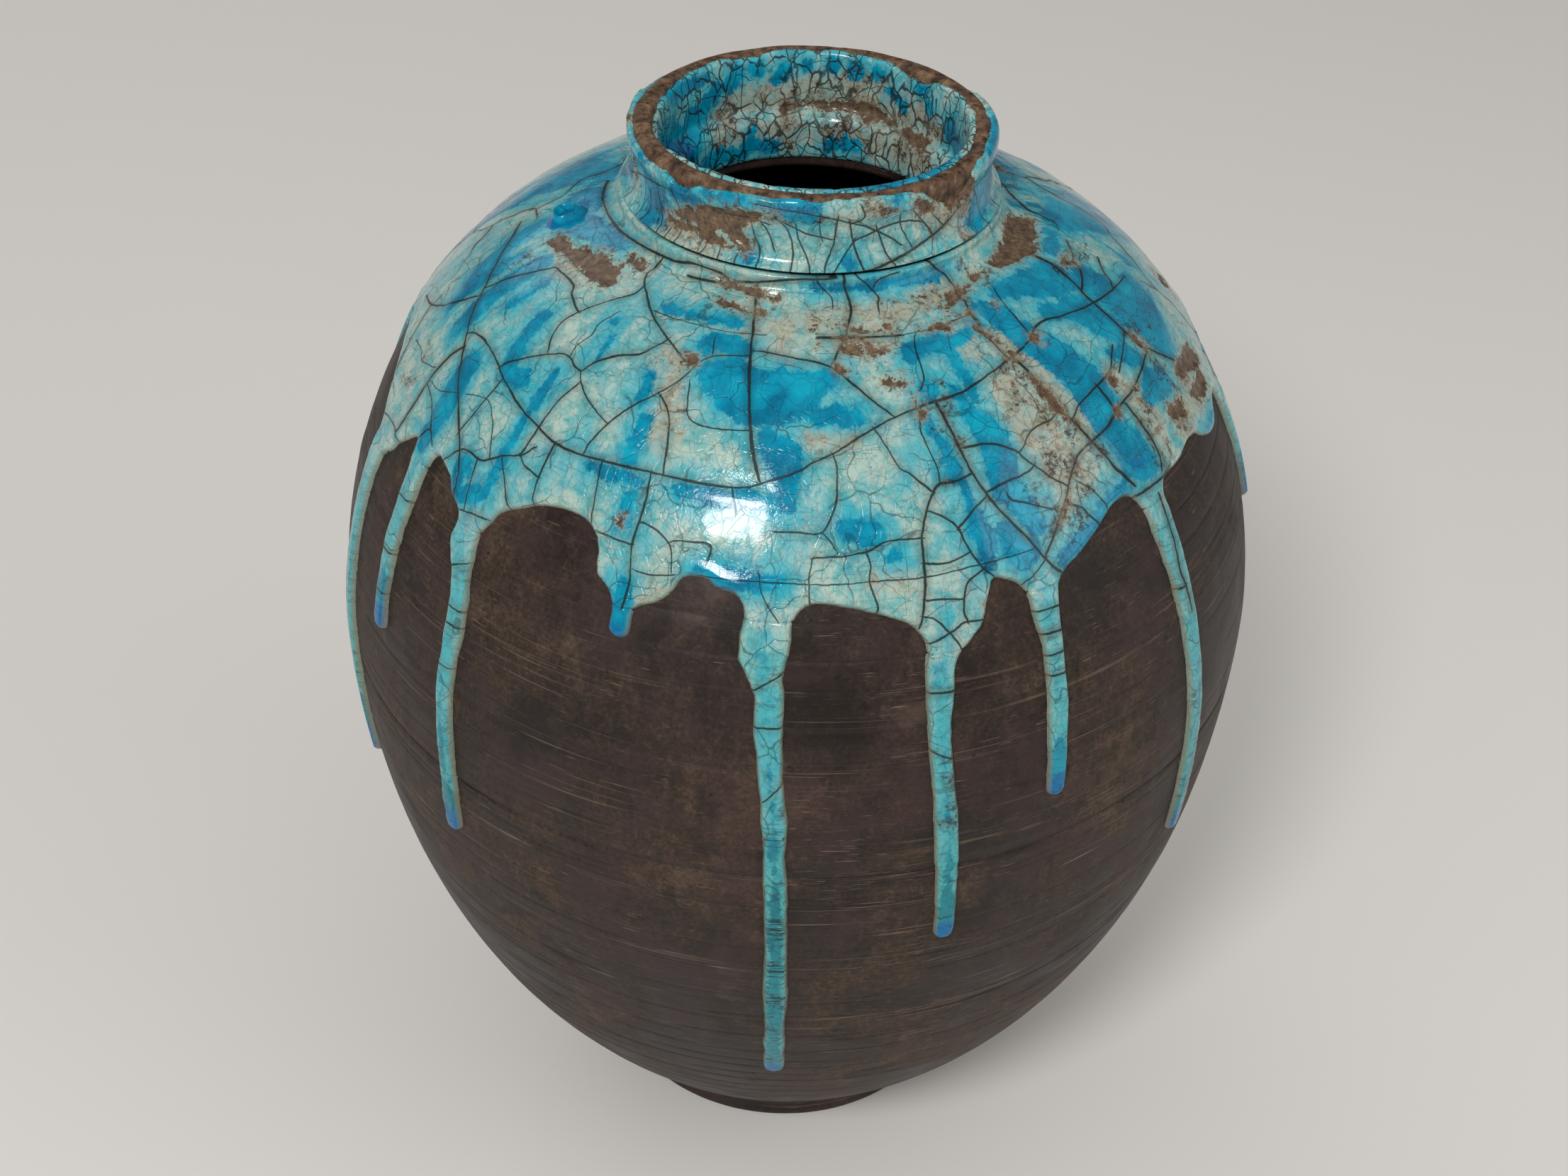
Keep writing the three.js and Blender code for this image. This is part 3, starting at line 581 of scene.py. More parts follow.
# The main cracks, as (width, points of azimuth and arc)
cracks = [
    (0.75, [(-90, 36), (-84, 39), (-80.5, 42), (-75, 47.5), (-71, 53.5), (-65, 62), (-59, 71), (-54, 78.8),
            (-52, 83), (-50.3, 88), (-49.3, 94.5)]),
    (0.6, [(-90, 74), (-84, 69.5), (-78.5, 62), (-74, 53), (-72.8, 51)]),
    (0.6, [(-73.8, 48.8), (-70.8, 40.5), (-66.3, 31), (-64.5, 28.5), (-56.8, 28.2), (-55, 30.3),
           (-49.5, 33.3)]),
    (0.6, [(-66.7, 58.8), (-65, 57), (-62, 56.1), (-57, 57), (-52, 59.7), (-46, 63), (-41.5, 64.7),
           (-36.5, 66.7), (-30, 66.2), (-22, 65.2), (-9, 65), (-4.5, 62.6), (-0.5, 59.8), (2, 57),
           (5, 54.7), (9.5, 50.2), (15, 46.2), (20.5, 44), (25, 43), (28, 42.5), (31, 41.2), (35, 39.6),
           (40, 37.8), (44, 36.5), (48, 35.2), (50, 33.3), (54, 33.1), (57, 34.8), (60, 35.8), (64, 37.5),
           (68, 39), (73, 41), (77, 42.5), (84, 45.5)]),
    (0.6, [(-45.2, 5), (-45.2, 9), (-44.8, 13.5), (-42, 16.8), (-40, 18.5), (-37, 21.5), (-34.5, 24),
           (-30, 27.5), (-25.5, 31.3), (-22.8, 33.6)]),
    (0.55, [(-42.3, 17), (-42.4, 20), (-46, 26), (-49.5, 33.4), (-50.5, 38), (-49.8, 43), (-48.2, 46.6)]),
    (0.6, [(-54.6, 58.2), (-53.7, 55.5), (-50, 50), (-46, 45.6), (-43.6, 44.8), (-41, 46.5), (-39.6, 46.5),
           (-38.6, 43.5), (-35.5, 39), (-31.5, 36.2), (-30, 33.8), (-27.8, 29.3)]),
    (0.35, [(-43.6, 44.8), (-43.9, 41), (-42.8, 36.5), (-43.3, 33), (-41.8, 27.5)]),
    (0.5, [(-39.8, 46.8), (-38.2, 49.8), (-35.8, 52.5), (-30.6, 56.6)]),
    (0.55, [(-38.7, 50), (-40.3, 56), (-41, 64), (-41.4, 70), (-41.7, 73.3)]),
    (0.55, [(-40, 70), (-41.5, 73.4), (-44.6, 76.4), (-46.2, 79), (-48, 80.8), (-50.5, 80.6), (-52.5, 82.5),
            (-54.5, 88.5)]),
    (0.5, [(-44.5, 76.7), (-42.5, 81.5), (-39.9, 87.8)]),
    (0.45, [(-41.7, 73.5), (-40.5, 75.3), (-37.4, 76.5)]),
    (0.5, [(-37.2, 66.8), (-37.3, 78), (-36.7, 83.8)]),
    (0.5, [(-52.4, 60), (-53.2, 70), (-54.2, 79)]),
    (0.5, [(-48.4, 81), (-47.5, 89.5), (-46.9, 94.5)]),
    (0.55, [(-47.7, 95.3), (-45, 94.1), (-42.8, 93.4)]),
    (0.35, [(-57, 69.5), (-54, 67.3), (-52, 66.8), (-49, 71), (-46.5, 78.5)]),
    (0.75, [(-65, 62), (-66.3, 66), (-67.3, 75), (-67.2, 85), (-68, 95)]),
    (0.55, [(-84.3, 69.5), (-81.5, 79), (-80, 84.5), (-77.5, 93)]),
    (0.5, [(-61.8, 90.7), (-61.3, 88), (-60.1, 84.4), (-58, 87)]),
    (0.5, [(-67, 77.8), (-64.5, 78.5), (-62.5, 80.3), (-60, 84)]),
    (0.35, [(-79, 77), (-75, 75.5), (-72.8, 76.4), (-68, 73)]),
    (0.35, [(-66.5, 76), (-63.5, 75.5), (-59, 71.2)]),
    (0.5, [(-76, 98.5), (-72, 96), (-69, 95.3), (-67, 96.8)]),
    (0.8, [(-100, 11), (-90, 10.7), (-85, 10), (-75, 8.7), (-65, 7.5), (-55, 6), (-45, 5), (-40, 4.5),
           (-35, 3), (-30, 2.6), (-25, 3.1), (-22, 5.2)]),
    (0.8, [(-34, 7.5), (-26, 6.5), (-20, 4.8), (-14, 3.6), (-8, 2), (-2, 0.8), (5, 0.5), (8, 0)]),
    (0.5, [(-32.1, 66.2), (-31.8, 62.5), (-30.4, 56.5), (-29.3, 53.5), (-27.5, 49.5), (-24.5, 44.7),
           (-22, 40), (-20.5, 36), (-19.8, 33.6), (-17.8, 31), (-15, 29.8), (-10.8, 28.8)]),
    (0.5, [(-24.4, 44.8), (-22.8, 46.8), (-21.3, 50), (-20.2, 56), (-19.4, 65)]),
    (0.9, [(-13.9, 4), (-13.4, 9), (-11.7, 19), (-10.6, 28.8), (-9.6, 37), (-8.4, 46.5), (-7.3, 54.5),
           (-5.6, 62.8)]),
    (0.6, [(-10.6, 27.3), (-8, 27), (-2, 28.2), (3, 29.5), (5.5, 31), (7, 33), (11, 39.3), (14.8, 45.6)]),
    (0.5, [(-28.9, 66), (-28, 76), (-27.4, 82.3)]),
    (0.55, [(-21.2, 65.2), (-20.8, 74), (-21.2, 84), (-20.5, 93), (-20.7, 100.5)]),
    (0.45, [(-26.2, 83.5), (-24, 83.9), (-21.3, 84.3)]),
    (0.45, [(-20.2, 90.4), (-18, 90.6), (-15.2, 89.4)]),
    (0.4, [(-20.6, 78), (-18.5, 79), (-16.2, 82.3), (-15.5, 88.5)]),
    (0.4, [(-16.2, 81), (-14, 80.3), (-11, 80.3), (-11.2, 85)]),
    (0.4, [(-9.3, 65.2), (-8.3, 71.5)]),
    (0.35, [(-20, 39.5), (-18.8, 47), (-17.5, 49.8), (-14.5, 50.7), (-8, 50)]),
    (0.45, [(-18.7, 25.5), (-17.9, 30.5)]),
    (0.45, [(2.8, 0.8), (3.5, 2.8), (6.2, 6), (6.9, 8), (6.9, 11)]),
    (0.65, [(10.3, 0), (10.6, 4), (11.6, 10), (11.2, 13), (9.6, 18), (9.2, 20.5), (7, 25.5), (5.6, 29.5)]),
    (0.45, [(14, 0), (15, 1.5), (17, 3.5), (19.5, 8), (18.8, 10.5), (18.2, 14)]),
    (0.45, [(18.7, 5), (20, 2.7), (22.5, 1.4), (26, 0.7)]),
    (0.5, [(11.5, 48.7), (12.5, 52), (14.5, 59.5), (16, 61.5), (18.7, 66.9)]),
    (0.5, [(4.7, 55), (5.3, 58), (5.2, 66), (4.6, 70), (3.2, 75), (0, 75.1), (-3, 75.2)]),
    (0.45, [(3.2, 75), (4.2, 77), (5, 79.7)]),
    (0.5, [(2, 81.3), (5, 81.2), (9, 80), (10.5, 78.5), (12, 77.7), (16.3, 77.8)]),
    (0.65, [(25, 64), (22, 65), (19.8, 65), (18.7, 67), (17.5, 70.8), (16.3, 77), (16.1, 84.5), (16, 90),
            (15.3, 98), (14.9, 100.5)]),
    (0.5, [(17.6, 71.3), (19.5, 73.3), (21.3, 76.7), (22.1, 82), (23.7, 88), (25, 91)]),
    (0.5, [(26.2, 70.6), (24, 73), (21.4, 76.8)]),
    (0.75, [(22.7, 43.6), (23.3, 48), (24.2, 56), (25, 63), (26.5, 70.4), (28, 75.5), (29.3, 79.5),
            (30.8, 84), (32, 88.5), (33.4, 93), (34.4, 95.2)]),
    (0.35, [(19.3, 47), (18.8, 51), (20, 60), (20, 65)]),
    (0.35, [(24, 23), (22.6, 28), (22.3, 36), (20.8, 39.5)]),
    (0.45, [(16.1, 84.3), (18, 85), (20, 84.9), (22.3, 83.5)]),
    (0.5, [(24, 88.3), (22.5, 89.7), (21.2, 91.8), (20.5, 98), (20.9, 101)]),
    (0.5, [(15.9, 105.3), (19, 102.8), (20.5, 101), (23.3, 101.7)]),
    (0.4, [(15.4, 97.8), (17, 99.3), (18.8, 104.2), (19.9, 108.3)]),
    (0.4, [(15.8, 93.8), (18, 94.1), (20.4, 95)]),
    (0.4, [(8.8, 80), (9.3, 84), (9, 87.8), (9.9, 93.5), (9.9, 96)]),
    (0.35, [(2, 81.5), (1.6, 87), (1.8, 93.5)]),
    (0.35, [(-4.6, 86), (-4, 91.5), (-2, 97.7)]),
    (0.8, [(36.8, 0), (38.8, 2.6), (40.9, 5), (42, 7.6), (41.8, 11.2), (41.2, 14), (40.2, 18.2),
           (39.4, 21.8), (39, 26), (39.2, 31), (39.6, 35.3), (40, 37.6)]),
    (0.65, [(25, 57), (28, 57.2), (30.5, 58.5), (32, 60.2), (33.3, 62), (34, 64.5), (35.5, 67.5), (37, 71),
            (38.7, 74), (39.2, 75)]),
    (0.5, [(33.4, 62), (34.8, 60.5), (36.2, 58.2), (38, 57.3), (41, 57), (43, 56), (44, 55)]),
    (0.9, [(41, 38), (41.8, 41.2), (42.6, 46.5), (43.4, 51.8), (43.9, 56.5), (45.2, 62.4), (46.1, 67),
           (47.2, 71.2), (48.1, 76), (49, 78.8), (50.3, 83.5)]),
    (0.6, [(45, 59.3), (47.5, 57), (50, 56.2), (53.5, 55.3), (57, 55), (58.8, 54), (60.5, 52),
           (62.5, 50.5)]),
    (0.6, [(26.7, 69.4), (29.7, 68.2), (33.4, 67.6), (35, 66.5)]),
    (0.8, [(32.7, 89.4), (34.7, 85.3), (36.5, 81.2), (38.4, 77), (39.5, 74.1), (40.9, 71.2), (42.5, 68.8),
           (44.7, 67.4), (47.7, 66.8), (50.4, 65.9), (53.5, 64.2), (57, 63.2), (60, 62.7), (63, 61.5),
           (67, 60), (70, 59.3)]),
    (0.45, [(29.3, 71), (29.7, 73), (31.5, 74.5), (33.5, 76.7), (35.8, 79)]),
    (0.45, [(40.9, 74.7), (42.5, 77.6), (43.6, 81.2), (44.2, 84.7)]),
    (0.55, [(37.9, 78.8), (40, 81.2), (41.1, 84.7), (42.2, 88.2)]),
    (0.5, [(29, 94.7), (31.1, 92.6), (32.7, 90.3)]),
    (1.0, [(70.5, 18.5), (70.8, 24), (70, 28), (69.3, 33), (68.2, 37), (68, 46), (68.3, 50), (69, 54),
           (70, 57.5), (71.5, 61.5), (73.3, 65.5), (75, 69)]),
    (0.65, [(69, 34.5), (72, 33.4), (75, 31.5), (78, 29), (84, 26)]),
    (0.55, [(77, 42), (79, 40.5), (80.5, 38), (84, 36)]),
    (0.55, [(59.7, 56.5), (62, 54.6), (66, 52), (68, 50.5)]),
    (0.8, [(53, 55.2), (53.2, 58), (53.5, 62), (53.6, 64)]),
    (0.8, [(56.5, 64), (57, 68), (57.3, 72), (57.8, 77), (57.7, 82), (56.8, 85)]),
    (0.45, [(47.7, 34), (48.3, 26), (48.8, 21.8), (50.2, 17.6)]),
    (0.5, [(-47.5, 112), (-45.6, 109.6), (-43.5, 107)]),
    (0.7, [(13.5, 118.2), (18.9, 118.8)]),
    (0.5, [(14, 132.8), (18, 138)]),
    (0.5, [(-4.6, 116.8), (-0.3, 110.3)]),
    (0.5, [(-4.5, 126.6), (0, 126.2)]),
    (0.5, [(-2.6, 148), (0.4, 140)]),
    (0.5, [(-62, 105.5), (-57, 105)]),
    (0.5, [(-62, 122.5), (-57, 122.2)]),
    (0.5, [(-62, 135.5), (-56, 135)]),
    (0.5, [(-47, 120.3), (-41, 120.7)]),
    (0.45, [(-47, 125.7), (-41, 125.2)]),
    (0.5, [(-47, 138.7), (-41, 138.2)]),
    (0.5, [(29, 103), (34, 103.4)]),
    (0.7, [(29, 109.7), (34, 109.9)]),
    (0.5, [(29.6, 116), (34, 115.6)]),
    (0.6, [(29.6, 121.6), (34, 122)]),
    (0.8, [(50, 86.4), (53, 86.6), (56, 86.8), (59, 86)]),
    (0.6, [(52, 117.2), (54.4, 117.8)]),
    (0.7, [(54.3, 90), (54, 97), (54.1, 104), (53.8, 112), (54.4, 118), (54.8, 126)]),
    (0.28, [(-12, 88.5), (-4, 88), (4, 88.2), (10, 87.7), (17, 87.9), (22, 87.2), (31, 87)]),
    (0.3, [(-35, 22.6), (-26, 22.4), (-18, 22.4), (-9, 21.6)]),
    (0.75, [(3, 21.4), (11.5, 21.6), (21, 22.4)]),
    (0.35, [(21, 22.4), (30, 22), (38, 21.4)]),
]


# Brush strokes of colour in the glaze, as (azimuth, arc, half width)
deepPools = [
    [(-90, 16, 7), (-80, 20, 6), (-70, 13, 4.5), (-60, 10, 3)],
    [(-60.5, 63, 3.6), (-60, 76, 4.4), (-60, 89, 3)],
    [(-55.5, 40, 2.6), (-54.6, 48, 3), (-53, 58, 3), (-49.5, 57, 3.4)],
    [(-43.8, 50, 1.4), (-44, 62, 1.6), (-44.4, 76, 1.5), (-44.6, 88, 1.2)], [(-41, 30, 1.6)],
    [(-38.6, 36, 1.2), (-38.4, 42, 1.5)], [(-50, 84, 3), (-50, 93, 3.4), (-46, 89, 2.6)],
    [(-69.5, 31, 3.6), (-70, 45, 4.2), (-70, 60, 4)], [(-84, 28, 4), (-82, 40, 5), (-80, 52, 4)],
    [(-76, 36, 2.6), (-77, 50, 3), (-78, 62, 2.6)], [(-63, 34, 1.6), (-64, 44, 2)],
    [(-19, 26, 2.6), (-15, 26.5, 3.2), (-12, 27, 2.4)], [(-20, 28, 3)], [(-27.4, 41, 1.6), (-27, 48, 2)],
    [(-25, 53, 2), (-25, 63, 2.4)], [(-30, 68.3, 1.8), (-23, 68.3, 1.6)],
    [(-34, 20.4, 1), (-26, 20, 1.5), (-14, 19.2, 1.8)],
    [(-15, 37, 6.4), (-8, 41, 8.6), (-1, 39, 7), (4, 34.5, 3)], [(3, 44.5, 3), (8.4, 45, 3.2)],
    [(-5.6, 51, 2.4), (-2.6, 57, 5.6), (-2.4, 63, 4.2)], [(-16, 68, 2.6), (-8, 68, 3), (-1.6, 68, 2.4)],
    [(-11.4, 88, 2.8), (-7, 88.4, 3), (-2.4, 88, 2.4)], [(-23, 72, 2), (-23, 79, 2.4)],
    [(3, 3.5, 1.8), (10, 3.6, 1.9), (18, 3.8, 1.6), (26, 4, 1.9), (32, 4.4, 2.1), (38, 5.4, 1.8),
     (41, 5, 1.4)],
    [(5.6, 73, 2.4), (7.4, 75, 3.4), (10.6, 76, 2.6)], [(12, 82, 2)],
    [(22, 28, 3.4), (27, 27, 3.4), (33, 28, 1.4), (39, 25.5, 1.8)],
    [(29.8, 31, 2), (30, 38, 2), (29.4, 45, 2.6)], [(22, 40.5, 2.6)], [(20, 47.5, 0.8), (20.1, 52, 0.8)],
    [(21.6, 54, 1.6), (22.2, 60, 2), (23, 65, 1.6)],
    [(23.6, 66, 1.6), (24, 74, 3), (24.2, 80, 3.4), (24.4, 88, 2)],
    [(27.4, 42, 2.2), (28.4, 50, 3.8), (30.3, 57, 5), (30.4, 64, 5.2), (30, 70, 4.6), (31.6, 76, 4),
     (32.4, 82, 3)],
    [(28, 80, 2.4), (29, 86, 3.4), (30, 88, 3.8), (31.6, 87, 2.6)],
    [(35, 92, 2.4), (38, 90, 2.2), (41, 88, 2), (44, 83, 2), (48, 82, 2), (49.4, 80, 2)],
    [(42, 20, 3), (45, 24, 5.4), (46, 30, 5), (47.4, 38, 5), (49.6, 44, 6.4), (51, 52, 6.6),
     (51.4, 62, 6.8), (51.6, 70, 6), (52.6, 76, 7), (53.6, 80, 6)],
    [(49, 19.5, 2.6), (57, 21, 4), (63, 25, 6.4), (67, 27, 7)], [(56, 32, 3), (64, 38, 6), (66, 47, 5.4)],
    [(76, 21.5, 2.4), (84, 21, 2.4)], [(61, 52, 2), (64, 55, 3.6), (66, 58, 3)],
    [(62, 67, 2.6), (65.4, 66, 5), (68.4, 68, 4)], [(74, 36, 7), (75, 48, 9), (76.4, 60, 8.4), (82, 52, 8)],
    [(73, 91, 2), (77, 91, 2)], [(92, 24, 6), (99, 30, 8), (104, 44, 7), (108, 60, 5)],
    [(112, 72, 6), (113, 90, 5)], [(120, 18, 4), (132, 22, 5), (142, 20, 3)],
    [(128, 40, 6), (131, 56, 7), (134, 72, 6)], [(150, 30, 5), (158, 34, 8), (164, 46, 6)],
    [(148, 74, 4), (156, 77, 3.4), (165, 76, 3)], [(176, 40, 4), (177, 60, 6), (178, 84, 6)],
    [(186, 18, 4), (200, 22, 6), (213, 19, 4)], [(196, 48, 7), (201, 60, 6), (203, 82, 5)],
    [(218, 36, 5), (224, 50, 6), (228, 76, 6), (229.4, 92, 4)],
    [(240, 26, 5), (250, 30, 7), (257, 44, 6), (256, 66, 5), (256.4, 86, 4)], [(266, 50, 6), (270, 62, 5)],
]
bluePools = [
    [(-88, 16, 2), (-80, 18, 1.4)], [(31, 87, 1.6)], [(52, 79, 1.4), (55, 80.5, 1.4)],
    [(50, 60, 0.4), (49, 42, -0.6)], [(46, 29, 0)], [(74, 36, 1)], [(54, 21, 0.4)], [(-9, 88.4, 0.4)],
    [(132, 60, 2)], [(178, 84, 2)], [(203, 80, 1.4)], [(229, 88, 2)], [(113, 88, 1.6)], [(256.4, 84, 1.4)],
    [(160, 40, 1.4)], [(49, 84, 0.4)], [(-60, 86, 0.6)],
]
barePatches = [
    [(-77, 25.5, 1.6), (-70, 23.4, 2.6), (-61, 20.4, 4.2), (-54, 19.6, 4.2), (-51, 20, 3)],
    [(38.4, 26, 0.3), (40.4, 33, 0.6), (41.2, 38, 0.2)], [(42, 44, 0.3), (42.6, 50, 0.9), (43.8, 58, 0.5)],
    [(44, 64, -0.5), (44.6, 73, -0.3)], [(39, 78, -0.4), (36.6, 82, -0.2)], [(-54, 11, 1.4), (-48, 12, 1)],
    [(-25, 5.6, 0.6), (-16, 6.8, 0.9), (-8, 8.2, 0.6)],
    [(-22, 12.6, 0.5), (-15, 13.4, 1.2), (-10, 14.6, 0.9)],
    [(7, 17.6, 1), (14, 18.8, 1.8), (19, 19.4, 1.2)], [(8, 24.4, 0.9), (14, 26, 1.6), (17, 26.4, 0.8)],
    [(6.6, 31.6, 1.1)], [(15, 36.4, 1), (18.4, 36.8, 1.2)], [(-21.6, 33.4, 1.7)],
    [(19.4, 41.4, 0.5), (19.8, 46, 0.4)], [(1.5, 18.5, 0.5)], [(2.3, 24, 0.5)], [(-23.5, 79, 0.6)],
    [(34, 17.4, 1), (38, 15.4, 1.6), (43, 13.2, 1.3), (50, 11, 1), (53, 10.7, 1)],
    [(26, 22.6, 0.6), (31.6, 22.2, 0.9)], [(35.6, 21.2, 0.5), (39.4, 20.6, 0.8)],
    [(59, 11.4, 1.6), (66, 12.4, 4), (74, 13, 5), (84, 12.6, 5)], [(74, 26, 1), (77, 28, 1.6)],
    [(46.8, 22, 0.8)], [(48.3, 35.3, 1.5)], [(57.3, 57.5, 2)], [(53.8, 64, 1)], [(60.6, 63, 1)],
    [(66, 76.4, 2.4), (69, 78, 2.8)], [(74, 71.6, 1.4), (79, 74, 3.4), (84, 77, 3)],
    [(74, 80.4, 1.6), (80, 83, 3)], [(69.6, 55.6, 1.4), (70, 58, 1)],
    [(118, 13, 2), (127, 12, 3.6), (137, 14, 2)], [(147, 60, 2), (150, 63, 2.6)],
    [(190, 74, 1.6), (195, 73, 2)], [(210, 11, 2), (222, 12, 4), (232, 14, 2)],
    [(212, 66, 2), (214, 69, 1.2)], [(247, 72, 1.8)], [(97, 66, 1.4), (99, 68, 2)],
    [(170, 14, 1.2), (179, 15, 2)],
]
creamPatches = [
    [(-33, 21.6, 0.4), (-20, 21.6, 0.5), (0, 20.4, 0.6), (24, 21, 0.5)], [(-70, 27, 3), (-60, 26, 4)],
    [(-26, 36, 4), (-22, 44, 3.4), (-21, 56, 4)], [(2, 52, 2), (8, 52, 2)], [(10, 88, 3), (13, 90, 2.4)],
    [(-18.6, 98, 1.8), (-16, 94.4, 2)], [(-13, 20, 3), (6, 14, 4), (22, 16, 5)],
    [(36, 46, 6), (38, 58, 8), (41, 70, 7)], [(42, 34, 5), (44.6, 48, 4), (46, 62, 3)], [(34, 30, 5)],
    [(30, 12, 4), (38, 10, 4)], [(10, 23, 3), (20, 24, 2)], [(59, 57, 3), (60, 72, 5), (60, 82, 3)],
    [(23.8, 98, 1.4), (23.2, 103.6, 1.2)], [(0, 23, 2), (-6, 24, 2)], [(66, 82, 5), (76, 80, 6)],
    [(124, 70, 5), (140, 66, 5)], [(206, 50, 5), (214, 60, 5)], [(244, 60, 4)], [(188, 60, 5)],
    [(160, 62, 4)],
]
dirtyPatches = [
    [(38, 47, 7), (40, 58, 9), (40, 70, 10), (37, 80, 8)], [(60, 70, 5), (60, 80, 6)], [(44, 73, 6)],
    [(22.5, 48, 2.6), (24, 60, 2.6)], [(-72, 76, 6)], [(30, 13, 4), (23, 16, 3)],
    [(18.4, 140, 5), (18.6, 148, 5), (18.8, 156, 4)], [(-83, 81, 3)], [(12, 22, 3)], [(66, 82, 5)],
    [(73, 49, 2.6)], [(-1, 160, 2)], [(-0.7, 192, 3), (-0.7, 198, 3)], [(-0.7, 212, 4)], [(-0.7, 226, 3)],
    [(36, 13, 4), (46, 10, 5), (52, 14, 4)], [(70, 26, 4), (78, 30, 5)], [(72, 60, 6), (70, 72, 6)],
    [(-76, 32, 4)], [(140, 62, 8)], [(210, 62, 8)], [(246, 62, 7)], [(98, 68, 6)], [(188, 66, 6)],
]

hemCurve = throughPoints(hem, 5, closed=True)
hemCurve = hemCurve[(hemCurve[:, 0] > -110) & (hemCurve[:, 0] < 270)]
glaze = {
    "coat": 1.5,            # how far the glaze stands off the clay
    "run": 2.05,
    "edge": 2.4,            # how wide its rounded edge is
    "sunk": -0.32,          # its edge dives into the clay
    "under": -0.6,
    "flow": 4.5,            # how softly a run flows out of the coat
    "bareDepth": 0.75,      # how much thinner it is where it has worn off
    "fillet": 0.8,          # how much thicker it lies in the corner under the neck
    "corner": 2.4,          # and how far that corner reaches
    "fullLip": 0.3,         # how much fuller it lies just inside the hem
    "groove": 0.28,         # the turning mark that shows through near the hem
    "ridge": {"arc": 20.5, "rise": 0.22, "half": 0.8},    # under the neck, at the front
    "ridgeFoot": {"arc": 21.9, "depth": 0.2, "half": 0.6},
    "reach": 14,            # depths are worked out this far from the hem
    "azimuthStep": 0.5, "arcStep": 1.3, "hemStep": 0.85, "hemZone": 76, "lowestHem": 109,
    "runAcross": 0.62, "runDown": 0.9,    # the steps of a run's mesh
}


def turnedRound(azimuth):
    # the same azimuth within the range that the back's strokes and runs are written in
    return np.where(azimuth < -100, azimuth + 360, azimuth)


def runLine(name):
    stations = np.array(runs[name]["line"], float)
    arcs = outside.arcAt(jar["seatHeight"] - stations[:, 0])
    return np.stack([stations[:, 1], arcs, stations[:, 2] / 2], axis=1)


runLines = {name: runLine(name) for name in runs}


def coatDepth(azimuth, arc):
    # how far inside the hem, along the skin
    radius = outside.radius(arc)
    hemArc = np.interp(azimuth, hemCurve[:, 0], hemCurve[:, 1])
    value = np.clip(hemArc - arc, -glaze["reach"], glaze["reach"])
    near = np.abs(hemArc - arc) < glaze["reach"] + 8
    if near.any():
        points = hemCurve[::2]
        distance = nearestOnHem(azimuth[near], arc[near], radius[near], points)
        value[near] = np.minimum(distance, glaze["reach"]) * np.sign(value[near])
    return value


def nearestOnHem(azimuth, arc, radius, points):
    # the hem is long, so each place looks only at the stretches near its own azimuth
    best = np.full(azimuth.shape, 1e9)
    scale = np.radians(radius)
    start = np.searchsorted(points[:, 0], azimuth) - 1
    for offset in range(-9, 10):
        k = np.clip(start + offset, 0, len(points) - 2)
        a, b = points[k], points[k + 1]
        x = (azimuth - a[:, 0]) * scale
        y = arc - a[:, 1]
        dx = (b[:, 0] - a[:, 0]) * scale
        dy = b[:, 1] - a[:, 1]
        t = np.clip((x * dx + y * dy) / (dx * dx + dy * dy + 1e-9), 0, 1)
        best = np.minimum(best, np.hypot(x - t * dx, y - t * dy))
    return best


def glazeDepth(azimuth, arc):
    # how far inside the glaze's outline a place lies: coat and runs as one flowing shape
    az = turnedRound(azimuth)
    shape = az.shape
    az, s = az.ravel(), np.broadcast_to(arc, shape).ravel().astype(float)
    depth = np.full(az.shape, -float(glaze["reach"]))
    upper = s < glaze["lowestHem"] + glaze["reach"]
    depth[upper] = coatDepth(az[upper], s[upper])
    for line in runLines.values():
        run = strokes(az, s, outside.radius(s), [line])
        flow = glaze["flow"]
        share = np.clip(0.5 + 0.5 * (depth - run) / flow, 0, 1)
        depth = run + (depth - run) * share + flow * share * (1 - share)
    wander = cloud(outside.place(az, s, 0), 7, 3) * 0.35 + cloud(outside.place(az, s, 0), 2.6, 4) * 0.12
    return (depth + wander).reshape(shape)


